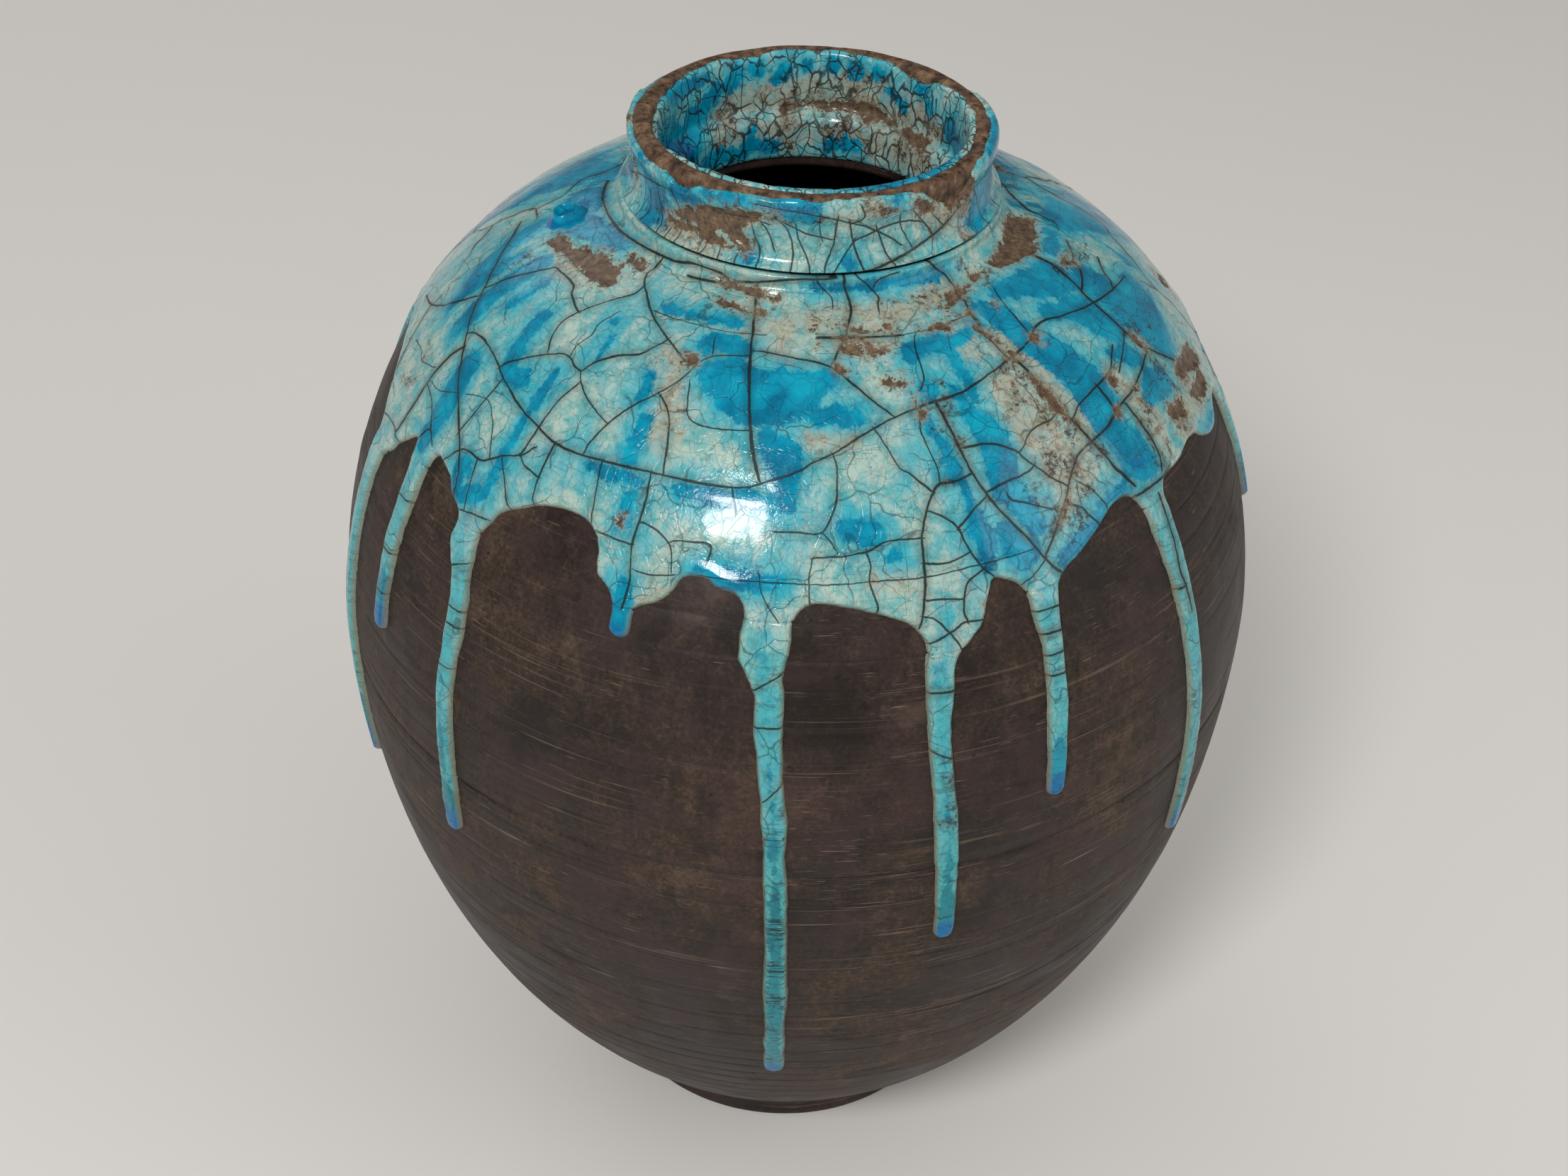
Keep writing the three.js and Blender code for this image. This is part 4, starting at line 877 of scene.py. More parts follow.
def glazeLift(azimuth, arc):
    # how far the glaze's surface stands off the clay
    az = turnedRound(azimuth)
    depth = glazeDepth(azimuth, arc)
    radius = outside.radius(arc)
    points = outside.place(azimuth, arc, 0)
    onRun = np.clip((arc - np.interp(az, hemCurve[:, 0], hemCurve[:, 1])) / 6, 0, 1)
    full = glaze["coat"] + (glaze["run"] - glaze["coat"]) * onRun
    full = full + 0.22 * soften(strokes(az, arc, radius, deepPools), -1, 3)
    full = full + 0.18 * cloud(points, 17, 5) + 0.1 * cloud(points, 6, 6)
    rounding = rounded(depth / glaze["edge"])
    lift = glaze["sunk"] + (full - glaze["sunk"]) * rounding
    lift = lift + glaze["fullLip"] * np.exp(-((depth - 2.2) / 1.6) ** 2) * rounding
    fromGroove = (arc - 88 + 0.03 * az) / 0.7
    shown = soften(cloud(points, 24, 7), -0.3, 0.2) * (1 - onRun)
    lift = lift - glaze["groove"] * np.exp(-fromGroove ** 2) * shown
    ridges = np.sin(arc * 1.15 + 0.5 * cloud(points, 30, 8)) * soften(30 - arc, 0, 12)
    ribs = np.sin(arc * 1.9 + 1.5 * cloud(points, 12, 8)) * soften(arc, 150, 200)
    lift = lift + (0.1 * ridges + 0.09 * ribs) * rounding
    front = soften(40 - np.abs(az - 2), 0, 8)
    top, foot = glaze["ridge"], glaze["ridgeFoot"]
    lift = lift + front * top["rise"] * np.exp(-((arc - top["arc"]) / top["half"]) ** 2)
    lift = lift - front * foot["depth"] * np.exp(-((arc - foot["arc"]) / foot["half"]) ** 2)
    lift = lift + glaze["fillet"] * np.exp(-(arc / glaze["corner"]) ** 2)
    bare = strokes(az, arc, radius, barePatches) + 0.8 * cloud(points, 3, 9)
    lift = lift - glaze["bareDepth"] * soften(bare, -0.5, 0.5) * rounding
    return np.minimum(lift, np.where(arc > 12, 1.98, 2.6))


crackLayers = 8       # attributes that hold cracks
farFromCrack = 9.0    # the distance that stands for no crack
crackReach = {"box": 7, "near": 5, "fade": 1.2}


def crackMarks(azimuth, arc, radius, chosen):
    # Signed distances to the cracks, a few attributes of (distance, half width, fading past the ends).
    # Cracks that come close to each other lie in different attributes.
    made = [np.tile([farFromCrack, 0, 0], (len(azimuth), 1)) for _ in range(crackLayers)]
    taken = [np.zeros(azimuth.shape, bool) for _ in range(crackLayers)]
    for width, points in chosen:
        p = np.array(points, float)
        reach = crackReach["box"]
        beside = reach / np.radians(radius.min())
        box = (azimuth > p[:, 0].min() - beside) & (azimuth < p[:, 0].max() + beside)
        box &= (arc > p[:, 1].min() - reach) & (arc < p[:, 1].max() + reach)
        ids = np.nonzero(box)[0]
        if not len(ids):
            continue
        smooth = throughPoints(points, 3) if len(points) > 2 else p
        near, side, over, _ = fromLine(azimuth[ids], arc[ids], radius[ids], smooth)
        close = near < crackReach["near"]
        ids, near, side, over = ids[close], near[close], side[close], over[close]
        clash = [taken[k][ids].sum() for k in range(crackLayers)]
        k = int(np.argmin(clash))
        free = ~taken[k][ids] | (near < np.abs(made[k][ids, 0]))
        ids, near, side, over = ids[free], near[free], side[free], over[free]
        fade = np.clip(1 - over / crackReach["fade"], -3, 1)
        made[k][ids] = np.stack([near * side, np.full(near.shape, width / 2), fade], axis=1)
        taken[k][ids] = True
    return {f"crack{k}": values for k, values in enumerate(made)}


def flowMarks(azimuth, arc):
    # where noise is read for looks that run down the slope: wide steps round the jar, short ones down it
    turn = np.radians(azimuth)
    return np.stack([70 * np.sin(turn), 70 * np.cos(turn), 0.3 * arc], axis=1)


def glazeMarks(azimuth, arc):
    az = turnedRound(azimuth)
    radius = outside.radius(arc)
    marks = crackMarks(az, arc, radius, cracks)
    deep = strokes(az, arc, radius, deepPools)
    blue = strokes(az, arc, radius, bluePools)
    for name, line in runLines.items():
        foot, gathered = line[-1], runs[name]["blue"]
        tip = foot + np.array([[0, 4 - gathered, 0.6], [0, 3, 2.4]])
        blue = np.maximum(blue, strokes(az, arc, radius, [tip]))
        tail = foot + np.array([[0, -gathered - 9, -1.6], [0, -gathered, 1.4], [0, 3, 4]])
        deep = np.maximum(deep, strokes(az, arc, radius, [tail]))
        thick = np.interp(line[:, 1], [105, 160, 230], [-2, 0.4, 2.6])
        deep = np.maximum(deep, strokes(az, arc, radius, [np.column_stack([line[:, :2], thick])]))
    bare = strokes(az, arc, radius, barePatches)
    cream = strokes(az, arc, radius, creamPatches)
    dirty = strokes(az, arc, radius, dirtyPatches)
    back = soften(np.abs(azimuth), 84, 92)
    marks["pools"] = np.stack([deep, blue, bare], axis=1)
    marks["stains"] = np.stack([cream, dirty, back], axis=1)
    hemArc = np.interp(az, hemCurve[:, 0], hemCurve[:, 1])
    onRun = np.maximum(soften(arc, 120, 180), 0.5 * soften(arc - hemArc, 3, 16))
    marks["coat"] = np.stack([0.16 + 0 * arc, glazeDepth(azimuth, arc), onRun], axis=1)
    marks["flow"] = flowMarks(azimuth, arc)
    return marks


clayLook = {
    "tones": [(0, "1c140f"), (0.36, "2c211a"), (0.64, "3c2e24"), (1, "584638")],
    # the pit colour also paints shade into the wheel lines and grooves, and the ash colour paints highlights
    # on their upper edges and on the ridges
    "smoke": "1a1410", "plum": "3a2829", "ashAndHighlight": "957d68", "pit": "120e0c",
    "lip": [(0.34, "2e221a"), (0.5, "644b38"), (0.66, "8d6f55")],
    "smokeShare": 0.6, "plumShare": 0.5, "ashShare": 0.12, "blotShare": 0.5,
    "lineShare": 0.75, "glintShare": 0.6, "scratchShare": 0.36, "pitShare": 0.8,
    "roughness": (0.42, 0.62), "relief": 0.36,
}


def stops(pairs):
    return [(place, colour(code)) for place, code in pairs]


def clayFinish():
    # smoke-stained clay with plum and ashen clouds, under the fine lines that the wheel left, with painted
    # shade and painted highlights along those lines and on the pushed grooves and ridges
    f = Finish("smoke_stained_clay")
    look = clayLook
    where = f.place()
    clouds = f.noise(f.wander(where, 30, 12), 46, 5, 0.62)
    grain = f.noise(where, 1.3, 4, 0.76)
    streaks = f.noise(f.place(0.03, 1), 2.2, 4, 0.62)
    weave = f.noise(f.place(1, 0.5), 4, 5, 0.7)
    tone = clouds * 0.52 + grain * 0.34 + streaks * 0.05 + weave * 0.17
    base = f.tint(f.ramp(tone, 0.4, 0.7), stops(look["tones"]))
    plum = f.ramp(f.noise(f.plus(where, (40, 3, 17)), 24, 5, 0.7), 0.46, 0.6)
    base = f.mix(plum * look["plumShare"], base, colour(look["plum"]))
    smoke = f.ramp(f.noise(f.wander(where, 14, 8), 30, 5, 0.66), 0.54, 0.66)
    base = f.mix(smoke * look["smokeShare"], base, colour(look["smoke"]))
    smudge = f.ramp(f.noise(f.wander(where, 9, 5), 21, 5, 0.72), 0.58, 0.72)
    base = f.mix(smudge * look["ashShare"], base, colour(look["ashAndHighlight"]))
    blots = f.ramp(f.noise(f.wander(f.plus(where, (9, 4, 2)), 20, 9), 17, 3, 0.5), 0.63, 0.66)
    base = f.mix(blots * look["blotShare"], base, colour(look["smoke"]))
    # wheel lines: painted shade along each dark one, and a painted highlight for the light that its upper
    # edge catches
    around = f.place(0.008, 1)
    height = f.node("ShaderNodeSeparateXYZ", None, {0: where}, out=2)
    shown = f.ramp(f.noise(f.place(0.35, 1), 24, 3), 0.42, 0.6) * f.ramp(height, 250, 130, 0.35, 1)
    level = f.noise(around, 5.5, 4, 0.6) - 0.5
    lines = f.ramp(abs(level), 0.009, 0.003) * shown
    glints = f.ramp(abs(level - 0.013), 0.009, 0.002) * shown
    glints = glints * f.ramp(f.noise(f.place(0.12, 1), 5, 4, 0.6), 0.42, 0.54)
    scratch = f.ramp(f.noise(f.place(0.05, 1), 0.4, 2, 0.5), 0.65, 0.7)
    scratch = scratch * f.ramp(f.noise(where, 18, 3), 0.46, 0.58)
    pushed = f.number("pushed")
    groove = f.ramp(pushed, -0.12, -0.36)
    # painted shade: the clay darkened along the wheel lines and in the grooves pushed into the mesh
    base = f.mix((lines * look["lineShare"]).most(groove * 0.36), base, colour(look["pit"]))
    # painted highlight: the clay lightened along the wheel lines' upper edges and on the ridges pushed out
    # of the mesh; the light scratches are the clay's own
    light = (glints * look["glintShare"]).most(scratch * look["scratchShare"])
    base = f.mix(light.most(f.ramp(pushed, 0.14, 0.34) * 0.4), base, colour(look["ashAndHighlight"]))
    # the lip, rubbed down to its warm clay
    rubbed = f.tint(f.noise(f.place(1, 0.6), 3, 5, 0.7), stops(look["lip"]))
    base = f.mix(f.number("lip") * f.ramp(f.noise(where, 5, 4, 0.7), 0.3, 0.5, 0.6, 1), base, rubbed)
    pits = f.ramp(f.spots(f.wander(where, 2, 0.8), 4.5), 0.15, 0.07)
    pits = pits * f.ramp(f.noise(where, 15, 2), 0.5, 0.58)
    base = f.mix(pits * look["pitShare"], base, colour(look["pit"]))
    rough = f.ramp(clouds, 0.35, 0.65, *look["roughness"]) + grain * 0.08
    relief = grain * 0.55 + weave * 0.24 + streaks * 0.05
    relief = relief - lines * 0.7 + glints * 0.3 - pits * 0.8 - scratch * 0.3
    return f.shade(base, rough, f.bump(relief, 0.6, look["relief"]), Specular_IOR_Level=0.3)


glazeLook = {
    "pale": [(0.32, "4c9ea4"), (0.45, "7db4b0"), (0.57, "afc2b6"), (0.7, "69afb4")],
    "middle": [(0.34, "1a9db2"), (0.5, "38adbb"), (0.66, "1590a8")],
    "deep": [(0.34, "006e90"), (0.5, "0088a8"), (0.66, "0c9fba")],
    "run": [(0.36, "38979a"), (0.5, "55aaa8"), (0.64, "28868b")],
    "cream": [(0.36, "9db3a8"), (0.5, "b2ad97"), (0.64, "927d62")],
    "clay": [(0.34, "3e3128"), (0.52, "67523f"), (0.7, "8a7259")],
    "blue": "006a9f", "runDeep": "0d777c", "milk": "c3ccbd", "rust": "6c4f36",
    "net": "274341", "deepNet": "06495f", "crack": "131b19", "stain": "465248",
    "speck": "1f1c18", "edge": "9c9178", "rim": "83795f",
    "milkShare": 0.5, "middleShare": 0.86, "runShare": 0.75, "rustShare": 0.6,
    "fineShare": 0.42, "wideShare": 0.62, "tickShare": 0.9,
    "haloShare": 0.54, "crackShare": 0.94, "speckShare": 0.85,
    "coat": 0.3, "coatRoughness": 0.07, "sheen": (0.08, 0.24), "relief": 0.42,
}


def glazeFinish():
    # Thick crackled glaze: pale and cloudy where thin, deep turquoise in pools, blue where it gathers.
    # The vertex attributes say how deep inside each kind of patch a place lies, in millimetres.
    f = Finish("crackled_turquoise_glaze")
    look = glazeLook
    where = f.place()
    soft = f.wander(where, 9, 3)
    flow = f.node("ShaderNodeAttribute", {"attribute_name": "flow"}, out="Vector")
    deep, blue, bare = f.mark("pools")
    cream, dirty, back = f.mark("stains")
    net, edge, onRun = f.mark("coat")
    brushed = f.noise(flow, 4.5, 4, 0.62) - 0.5
    grain = f.noise(where, 2, 4, 0.68) - 0.5
    broad = f.noise(where, 10, 3) - 0.5
    rag = brushed * 7 + grain * 4.5 + broad * 3
    field = (f.noise(flow, 17, 4, 0.6) - 0.53) * 70 - (1 - back) * 24
    deep = deep.most(field).most(blue + 2.2)
    middle = f.ramp(deep + rag * 1.7, -7.5, -0.5)
    middle = middle.most(f.ramp(f.noise(flow, 8, 5, 0.66), 0.46, 0.66) * 0.8)
    deepShare = f.ramp(deep + rag, -0.6, 0.6)
    body = f.tint(f.noise(soft, 6, 5, 0.7), stops(look["pale"]))
    milk = f.ramp(f.noise(f.wander(where, 6, 4), 13, 5, 0.7), 0.54, 0.68)
    body = f.mix(milk * look["milkShare"], body, colour(look["milk"]))
    between = f.tint(f.noise(soft, 8, 4, 0.62), stops(look["middle"]))
    body = f.mix(middle * look["middleShare"], body, between)
    stained = f.ramp(cream + rag * 1.8, -2.4, 2.6)
    stained = stained * f.ramp(f.noise(where, 5, 4, 0.7), 0.34, 0.56, 0.35, 0.85)
    body = f.mix(stained, body, f.tint(f.noise(soft, 3.4, 5, 0.74), stops(look["cream"])))
    body = f.mix(deepShare, body, f.tint(f.noise(soft, 11, 4, 0.6), stops(look["deep"])))
    runTone = f.tint(f.noise(soft, 4, 4, 0.66), stops(look["run"]))
    runTone = f.mix(deepShare * 0.85, runTone, colour(look["runDeep"]))
    body = f.mix(onRun * look["runShare"], body, runTone)
    body = f.mix(f.ramp(blue + rag * 0.8, -0.8, 2.4), body, colour(look["blue"]))
    rust = f.ramp(f.noise(f.wander(where, 3, 2), 4, 4, 0.72), 0.57, 0.66)
    rust = rust * f.ramp(cream + broad * 10, -5, 1)
    body = f.mix(rust * (1 - deepShare) * look["rustShare"], body, colour(look["rust"]))
    # fine crazing everywhere, wider crazing here and there, and the close dark net of the neck's lining
    fine = f.ramp(f.cells(f.wander(where, 5, 1.8), 5.4), 0.15, 0.03)
    fine = fine * f.ramp(f.noise(where, 12, 2), 0.36, 0.56)
    wide = f.ramp(f.cells(f.wander(f.plus(where, (31, 7, 5)), 11, 4), 13), 0.26, 0.05)
    wide = wide * f.ramp(f.noise(where, 20, 2), 0.42, 0.54)
    close = f.cells(f.wander(f.place(1, 0.62), 7, 3.4), 5.2)
    close = close.least(f.cells(f.wander(f.place(1, 0.8), 5, 2), 9) + 0.1)
    close = f.ramp(close, 0.34, 0.07) * f.ramp(f.noise(where, 9, 3), 0.3, 0.44) * net
    netColour = f.mix(deepShare, colour(look["net"]), colour(look["deepNet"]))
    body = f.mix(fine * look["fineShare"], body, netColour)
    body = f.mix(wide * look["wideShare"], body, netColour)
    # short dark ticks across the runs, more of them where a run is soiled
    soiled = f.ramp(dirty, -2, 2)
    ticks = f.ramp(f.noise(f.place(0.12, 1), 1.2, 4, 0.65) + soiled * 0.06, 0.55, 0.6) * onRun
    ticks = ticks * f.ramp(f.noise(where, 11, 2), 0.46, 0.56, 0, 0.75).most(soiled)
    body = f.mix(ticks * look["tickShare"], body, colour(look["crack"]))
    # the main cracks, stained along both sides, and a wide net of them on the back
    line = close
    halo = close * 0.4
    jitter = (f.noise(where, 3, 3, 0.6) - 0.5) * 0.7
    breadth = f.ramp(f.noise(where, 14, 3), 0.35, 0.65, 0.5, 1.05)
    for k in range(crackLayers):
        distance, half, fade = f.mark(f"crack{k}")
        away = abs(distance + jitter)
        shown = f.ramp(fade, 0, 0.6)
        line = line.most(f.ramp(away - half * breadth, 0.2, -0.12) * shown)
        halo = halo.most(f.ramp(away, 3, 0.2) * shown * f.ramp(half, 0.1, 0.4))
    rear = abs(f.cells(f.wander(f.plus(where, (5, 13, 3)), 26, 11), 46) + jitter)
    line = line.most(f.ramp(rear, 0.42, 0.14) * back)
    halo = halo.most(f.ramp(rear, 2.4, 0.2) * back * 0.7)
    haloColour = f.mix(deepShare, colour(look["stain"]), colour(look["deepNet"]))
    body = f.mix(halo * look["haloShare"], body, haloColour)
    body = f.mix(line * look["crackShare"], body, colour(look["crack"]))
    # dirt that lodged in pinholes, and bare clay where the glaze wore off, with flakes round it
    clusters = f.ramp(dirty + broad * 40 + grain * 12, -3.5, 2.5)
    clusters = clusters * f.ramp(f.noise(where, 7, 3, 0.6), 0.44, 0.58, 0.15, 1)
    specks = f.ramp(f.noise(where, 1.4, 5, 0.78) + clusters * 0.05, 0.555, 0.6) * clusters
    body = f.mix(clusters * (1 - deepShare) * 0.34, body, colour(look["rust"]))
    pinholes = f.ramp(f.spots(f.wander(where, 1.5, 0.9), 2.1), 0.11, 0.05)
    pinholes = pinholes * f.ramp(f.noise(where, 8, 2), 0.54, 0.6)
    body = f.mix(specks.most(pinholes) * look["speckShare"], body, colour(look["speck"]))
    ragged = (f.noise(where, 2.6, 5, 0.74) - 0.5) * 9 + broad * 7
    worn = f.ramp(bare + ragged, -0.1, 0.25)
    flakes = f.ramp(f.noise(where, 1.7, 4, 0.72), 0.57, 0.61) * f.ramp(bare + broad * 8, -5, -1)
    worn = worn.most(flakes * 0.9)
    body = f.mix(f.ramp(bare + ragged, -2.4, 0) * 0.5, body, colour(look["edge"]))
    body = f.mix(worn, body, f.tint(f.noise(where, 2.4, 5, 0.72), stops(look["clay"])))
    body = f.mix(f.ramp(edge, 1.1, 0.1) * (onRun * 0.2 + 0.6), body, colour(look["rim"]))
    rough = f.ramp(f.noise(where, 6, 3), 0.3, 0.7, *look["sheen"])
    rough = rough + worn * 0.42 + specks * 0.2 + line * 0.3
    relief = f.noise(where, 4.5, 3) * 0.5 + f.noise(where, 1.1, 3, 0.6) * 0.2
    relief = relief + f.noise(where, 0.45, 2) * 0.13
    relief = relief - line * 1.3 - wide * 0.25 - specks * 0.5 - pinholes * 0.6
    relief = relief + worn * (f.noise(where, 1.4, 3) - 0.9)
    return f.shade(body, rough, f.bump(relief, 0.6, look["relief"]), Specular_IOR_Level=0.28,
                   Coat_Weight=(1 - onRun) * look["coat"], Coat_Roughness=look["coatRoughness"])


print("finishes")
smokedClay = clayFinish()
turquoiseGlaze = glazeFinish()


# The marks that the wheel left, as (arc, depth, half width, how broken); a negative depth is a ridge
turning = {
    "columns": 360, "strips": 2, "step": 2.6, "insideStep": 9, "closest": 0.42,    # the mesh's steps
    "beside": (-2.5, -1.3, 0, 1.3, 2.5),    # its rows at a mark, in half widths
    "lump": 0.15, "depthShare": 0.75,
    "deep": [
        (98.5, 0.3, 0.5, 0.5), (108.5, 0.34, 0.5, 0.4), (113.4, -0.2, 0.7, 0.5), (117, 0.34, 0.5, 0.25),
        (118.9, 0.3, 0.5, 0.35), (120.8, 0.3, 0.5, 0.3), (126.7, -0.24, 0.7, 0.2), (128.4, 0.3, 0.5, 0.5),
        (137, 0.26, 0.5, 0.5), (145.7, 0.34, 0.6, 0.3), (152, 0.24, 0.5, 0.6), (166.7, 0.3, 0.5, 0.4),
        (169.7, 0.24, 0.5, 0.5), (180.7, 0.3, 0.5, 0.4), (183.7, 0.36, 0.5, 0.3), (198.8, 0.34, 0.5, 0.3),
        (204.8, 0.28, 0.5, 0.5), (211, 0.36, 0.5, 0.3), (219, 0.3, 0.5, 0.4), (232.5, 0.36, 0.6, 0.2),
        (239.8, 0.3, 0.5, 0.4), (243, 0.4, 0.6, 0), (252, 0.34, 0.5, 0.3), (255, 0.3, 0.5, 0.4),
        (263, 0.34, 0.5, 0.2), (271, 0.3, 0.5, 0.3), (277, 0.34, 0.5, 0.3), (284, 0.3, 0.5, 0.2),
        (291, 0.36, 0.6, 0.2), (299, 0.3, 0.5, 0.3), (306, 0.34, 0.5, 0.3), (315, 0.3, 0.5, 0.3),
        (324, 0.34, 0.5, 0.3), (334, 0.3, 0.5, 0.3), (345, 0.34, 0.6, 0.4), (357, 0.3, 0.5, 0.4),
        (366, 0.34, 0.5, 0.3),
    ],
}
unmarked = -50    # stands for the arc in rows that the wheel marks leave alone


def wheelMarks(azimuth, arc):
    # how far the clay's skin is pushed out (or in) at each place
    skin = arc > unmarked
    arc = np.where(skin, arc, 0)
    points = outside.place(azimuth, arc, 0)
    push = turning["lump"] * cloud(points, 38, 11) * 0.7 + 0.03 * cloud(points * [0.1, 0.1, 1], 4, 12)
    push = push + 0.05 * cloud(points, 5, 13)
    for k, (at, depth, half, broken) in enumerate(turning["deep"]):
        drift = at + 0.6 * cloud(points, 60, 20 + k)
        shown = soften(cloud(points * [1, 1, 0.15], 34, 50 + k), broken - 0.75, broken - 0.4)
        push = push - turning["depthShare"] * depth * np.exp(-((arc - drift) / half) ** 2) * shown
    return np.where(skin, push, 0) - jar["skinDrop"]


def skinArcs(start, end):
    # arcs of the outside's rows: even steps, and closer ones in and beside each turning mark
    arcs = list(np.arange(start, end, turning["step"]))
    for at, _, half, _ in turning["deep"]:
        arcs += [at + reach * half for reach in turning["beside"]]
    arcs = np.array(sorted(a for a in arcs if start + 0.6 < a < end - 0.6))
    kept = arcs[np.concatenate([[True], np.diff(arcs) > turning["closest"]])]
    return np.concatenate([[start], kept, [end]])


def lineRow(arc, lift=0.0):
    out = outside.read(arc, 0) + outside.read(arc, 2) * lift
    up = outside.read(arc, 1) + outside.read(arc, 3) * lift
    return [float(out), float(up)]


def lowerBody():
    # from the middle of the floor up the inside, over the bevelled rim and down the outside to the foot
    floor, foot, fillet = jar["floorHeight"], jar["footRadius"], jar["floorFillet"]
    edge = foot - jar["wall"]
    rows = [(0, floor, unmarked), (14, floor, unmarked), (28, floor, unmarked), (42, floor, unmarked)]
    turn = np.radians(np.linspace(-90, 0, 5))
    rows += [(edge + fillet * (np.cos(a) - 1), floor + fillet * (np.sin(a) + 1), unmarked) for a in turn]
    top = jar["seamHeight"] + jar["seamSlope"]
    wallArcs = np.arange(outside.arcAt(floor + 14), outside.arcAt(top), -turning["insideStep"])
    rows += [(*lineRow(a, -jar["wall"]), unmarked) for a in wallArcs]
    rows += [(*lineRow(outside.arcAt(top), -jar["wall"]), unmarked), (*lineRow(seamArc, -0.5), unmarked)]
    first = len(rows) - 1    # the axis row isn't in the ring
    arcs = skinArcs(seamArc + 0.4, outside.length)
    rows += [(*lineRow(a), a) for a in arcs]
    last = len(rows) - 2
    end, ring, hollow = outside.length, foot - jar["ringWidth"], jar["hollow"]
    rows += [(foot, 3, end + 3), (foot, 1.4, end + 5), (foot - 0.9, 0.2, end + 6)]
    base = [(foot - 2, 0), (54, 0), (ring + 0.6, 0), (ring - 0.4, 0.6), (ring - 1, hollow), (30, hollow),
            (12, hollow), (0, hollow)]
    rows += [(*point, unmarked) for point in base]
    return turnedBody("lower_body_clay", "lower_body", rows, wheelMarks, (first - 1, last))


def upperBody():
    # a closed ring: down the outside from the seat, over the seam, up the inside, round the hole
    arcs = skinArcs(0.5, seamArc - 0.4)
    rows = [(*lineRow(a), a) for a in arcs]
    last = len(rows) - 1
    top = jar["seamHeight"] + jar["seamSlope"]
    rows += [(*lineRow(seamArc - 0.2, -0.5), unmarked)]
    rows += [(*lineRow(outside.arcAt(top + 0.4), -jar["wall"]), unmarked)]
    wallArcs = np.arange(outside.arcAt(top + 8), 22, -turning["insideStep"])
    rows += [(*lineRow(a, -jar["wall"]), unmarked) for a in wallArcs]
    hole, edge = jar["holeRadius"], jar["holeEdge"]
    high = jar["seatHeight"] + jar["seatRise"]
    mouth = [(hole + 1.6, edge), (hole + 0.3, edge + 0.4), (hole, edge + 1.6), (hole, edge + 8),
             (hole, high - 3.4), (hole + 0.5, high - 1.6), (hole + 1.7, high - 0.4),
             (jar["boreRadius"], high), (48, high - 1.4)]
    rows += [(*point, unmarked) for point in mouth]
    return turnedBody("upper_body_clay", "upper_body", rows, wheelMarks, (0, last))


def neckLines():
    # the collar's outside, from the middle of the lip down, and the bore, from the hole up to there
    rim, lip, neck, seat = jar["rimHeight"], jar["lipRadius"], jar["neckRadius"], jar["seatHeight"]
    hole, edge, bore, inner = jar["holeRadius"], jar["holeEdge"], jar["boreRadius"], lip - jar["lipWidth"]
    foot = (jar["seatRadius"] + 0.1, seat + 0.2)
    outer = np.vstack([
        bezier([(lip - 3.1, rim), (lip - 0.6, rim + 0.05), (lip + 0.1, rim - 0.9), (lip, rim - 3.2)], 30),
        bezier([(lip, rim - 3.2), (lip - 0.1, rim - 6), (neck, rim - 6), (neck, rim - 9)], 30)[1:],
        bezier([(neck, rim - 9), (neck, rim - 16), (neck + 0.5, seat + 3.4), foot], 40)[1:],
    ])
    inside = np.vstack([
        bezier([(hole, edge + 1), (hole, edge + 8), (hole, seat - 4), (hole, seat - 1.4)], 20),
        bezier([(hole, seat - 1.4), (hole, seat + 1.6), (bore - 0.4, seat + 2), (bore, seat + 4.4)], 24)[1:],
        bezier([(bore, seat + 4.4), (bore, rim - 9), (bore + 0.1, rim - 6), (inner, rim - 1.4)], 30)[1:],
        bezier([(inner, rim - 1.4), (lip - 5.9, rim - 0.2), (lip - 5, rim), (lip - 3.1, rim)], 14)[1:],
    ])
    return TurnedLine(outer), TurnedLine(inside)


neckLine, boreLine = neckLines()
collarStart = boreLine.arcs[43] + 0.6    # where the collar's own clay begins in the bore


def lipWear(azimuth, row):
    # the bare lip is worn down a little below the glaze that is left on both of its sides
    turn = np.radians(azimuth)
    points = np.stack([48 * np.sin(turn), -48 * np.cos(turn), 340 + 3 * row], axis=-1)
    worn = 0.16 * cloud(points, 7, 31) + 0.22 * np.minimum(cloud(points, 4, 32), 0)
    return worn + 0.1 * cloud(points, 30, 33) - 0.4


def underRim(line, arc, lift):
    # the lift that still stays below the jar's full height
    up = np.maximum(line.read(arc, 3), 0.08)
    return np.minimum(lift, (jar["rimHeight"] - 0.04 - line.height(arc)) / up)


def neckCollar():
    outer = [(float(neckLine.radius(a)), float(neckLine.height(a)))
             for a in np.linspace(0, neckLine.length, 30)]
    inner = [(float(boreLine.radius(a)), float(boreLine.height(a)))
             for a in np.linspace(collarStart, boreLine.length, 26)]
    rows = [(*p, k) for k, p in enumerate(outer[1:])]
    seat = jar["seatHeight"]
    rows += [(jar["seatRadius"] - 0.4, seat + 0.5, unmarked), (48, seat + 1.6, unmarked),
             (jar["boreRadius"] + 0.3, seat + 2.9, unmarked)]
    rows += [(*p, 40 + k) for k, p in enumerate(inner)]
    return turnedBody("neck_clay", "neck_collar", rows, lipWear, (0, 28), lip=1)


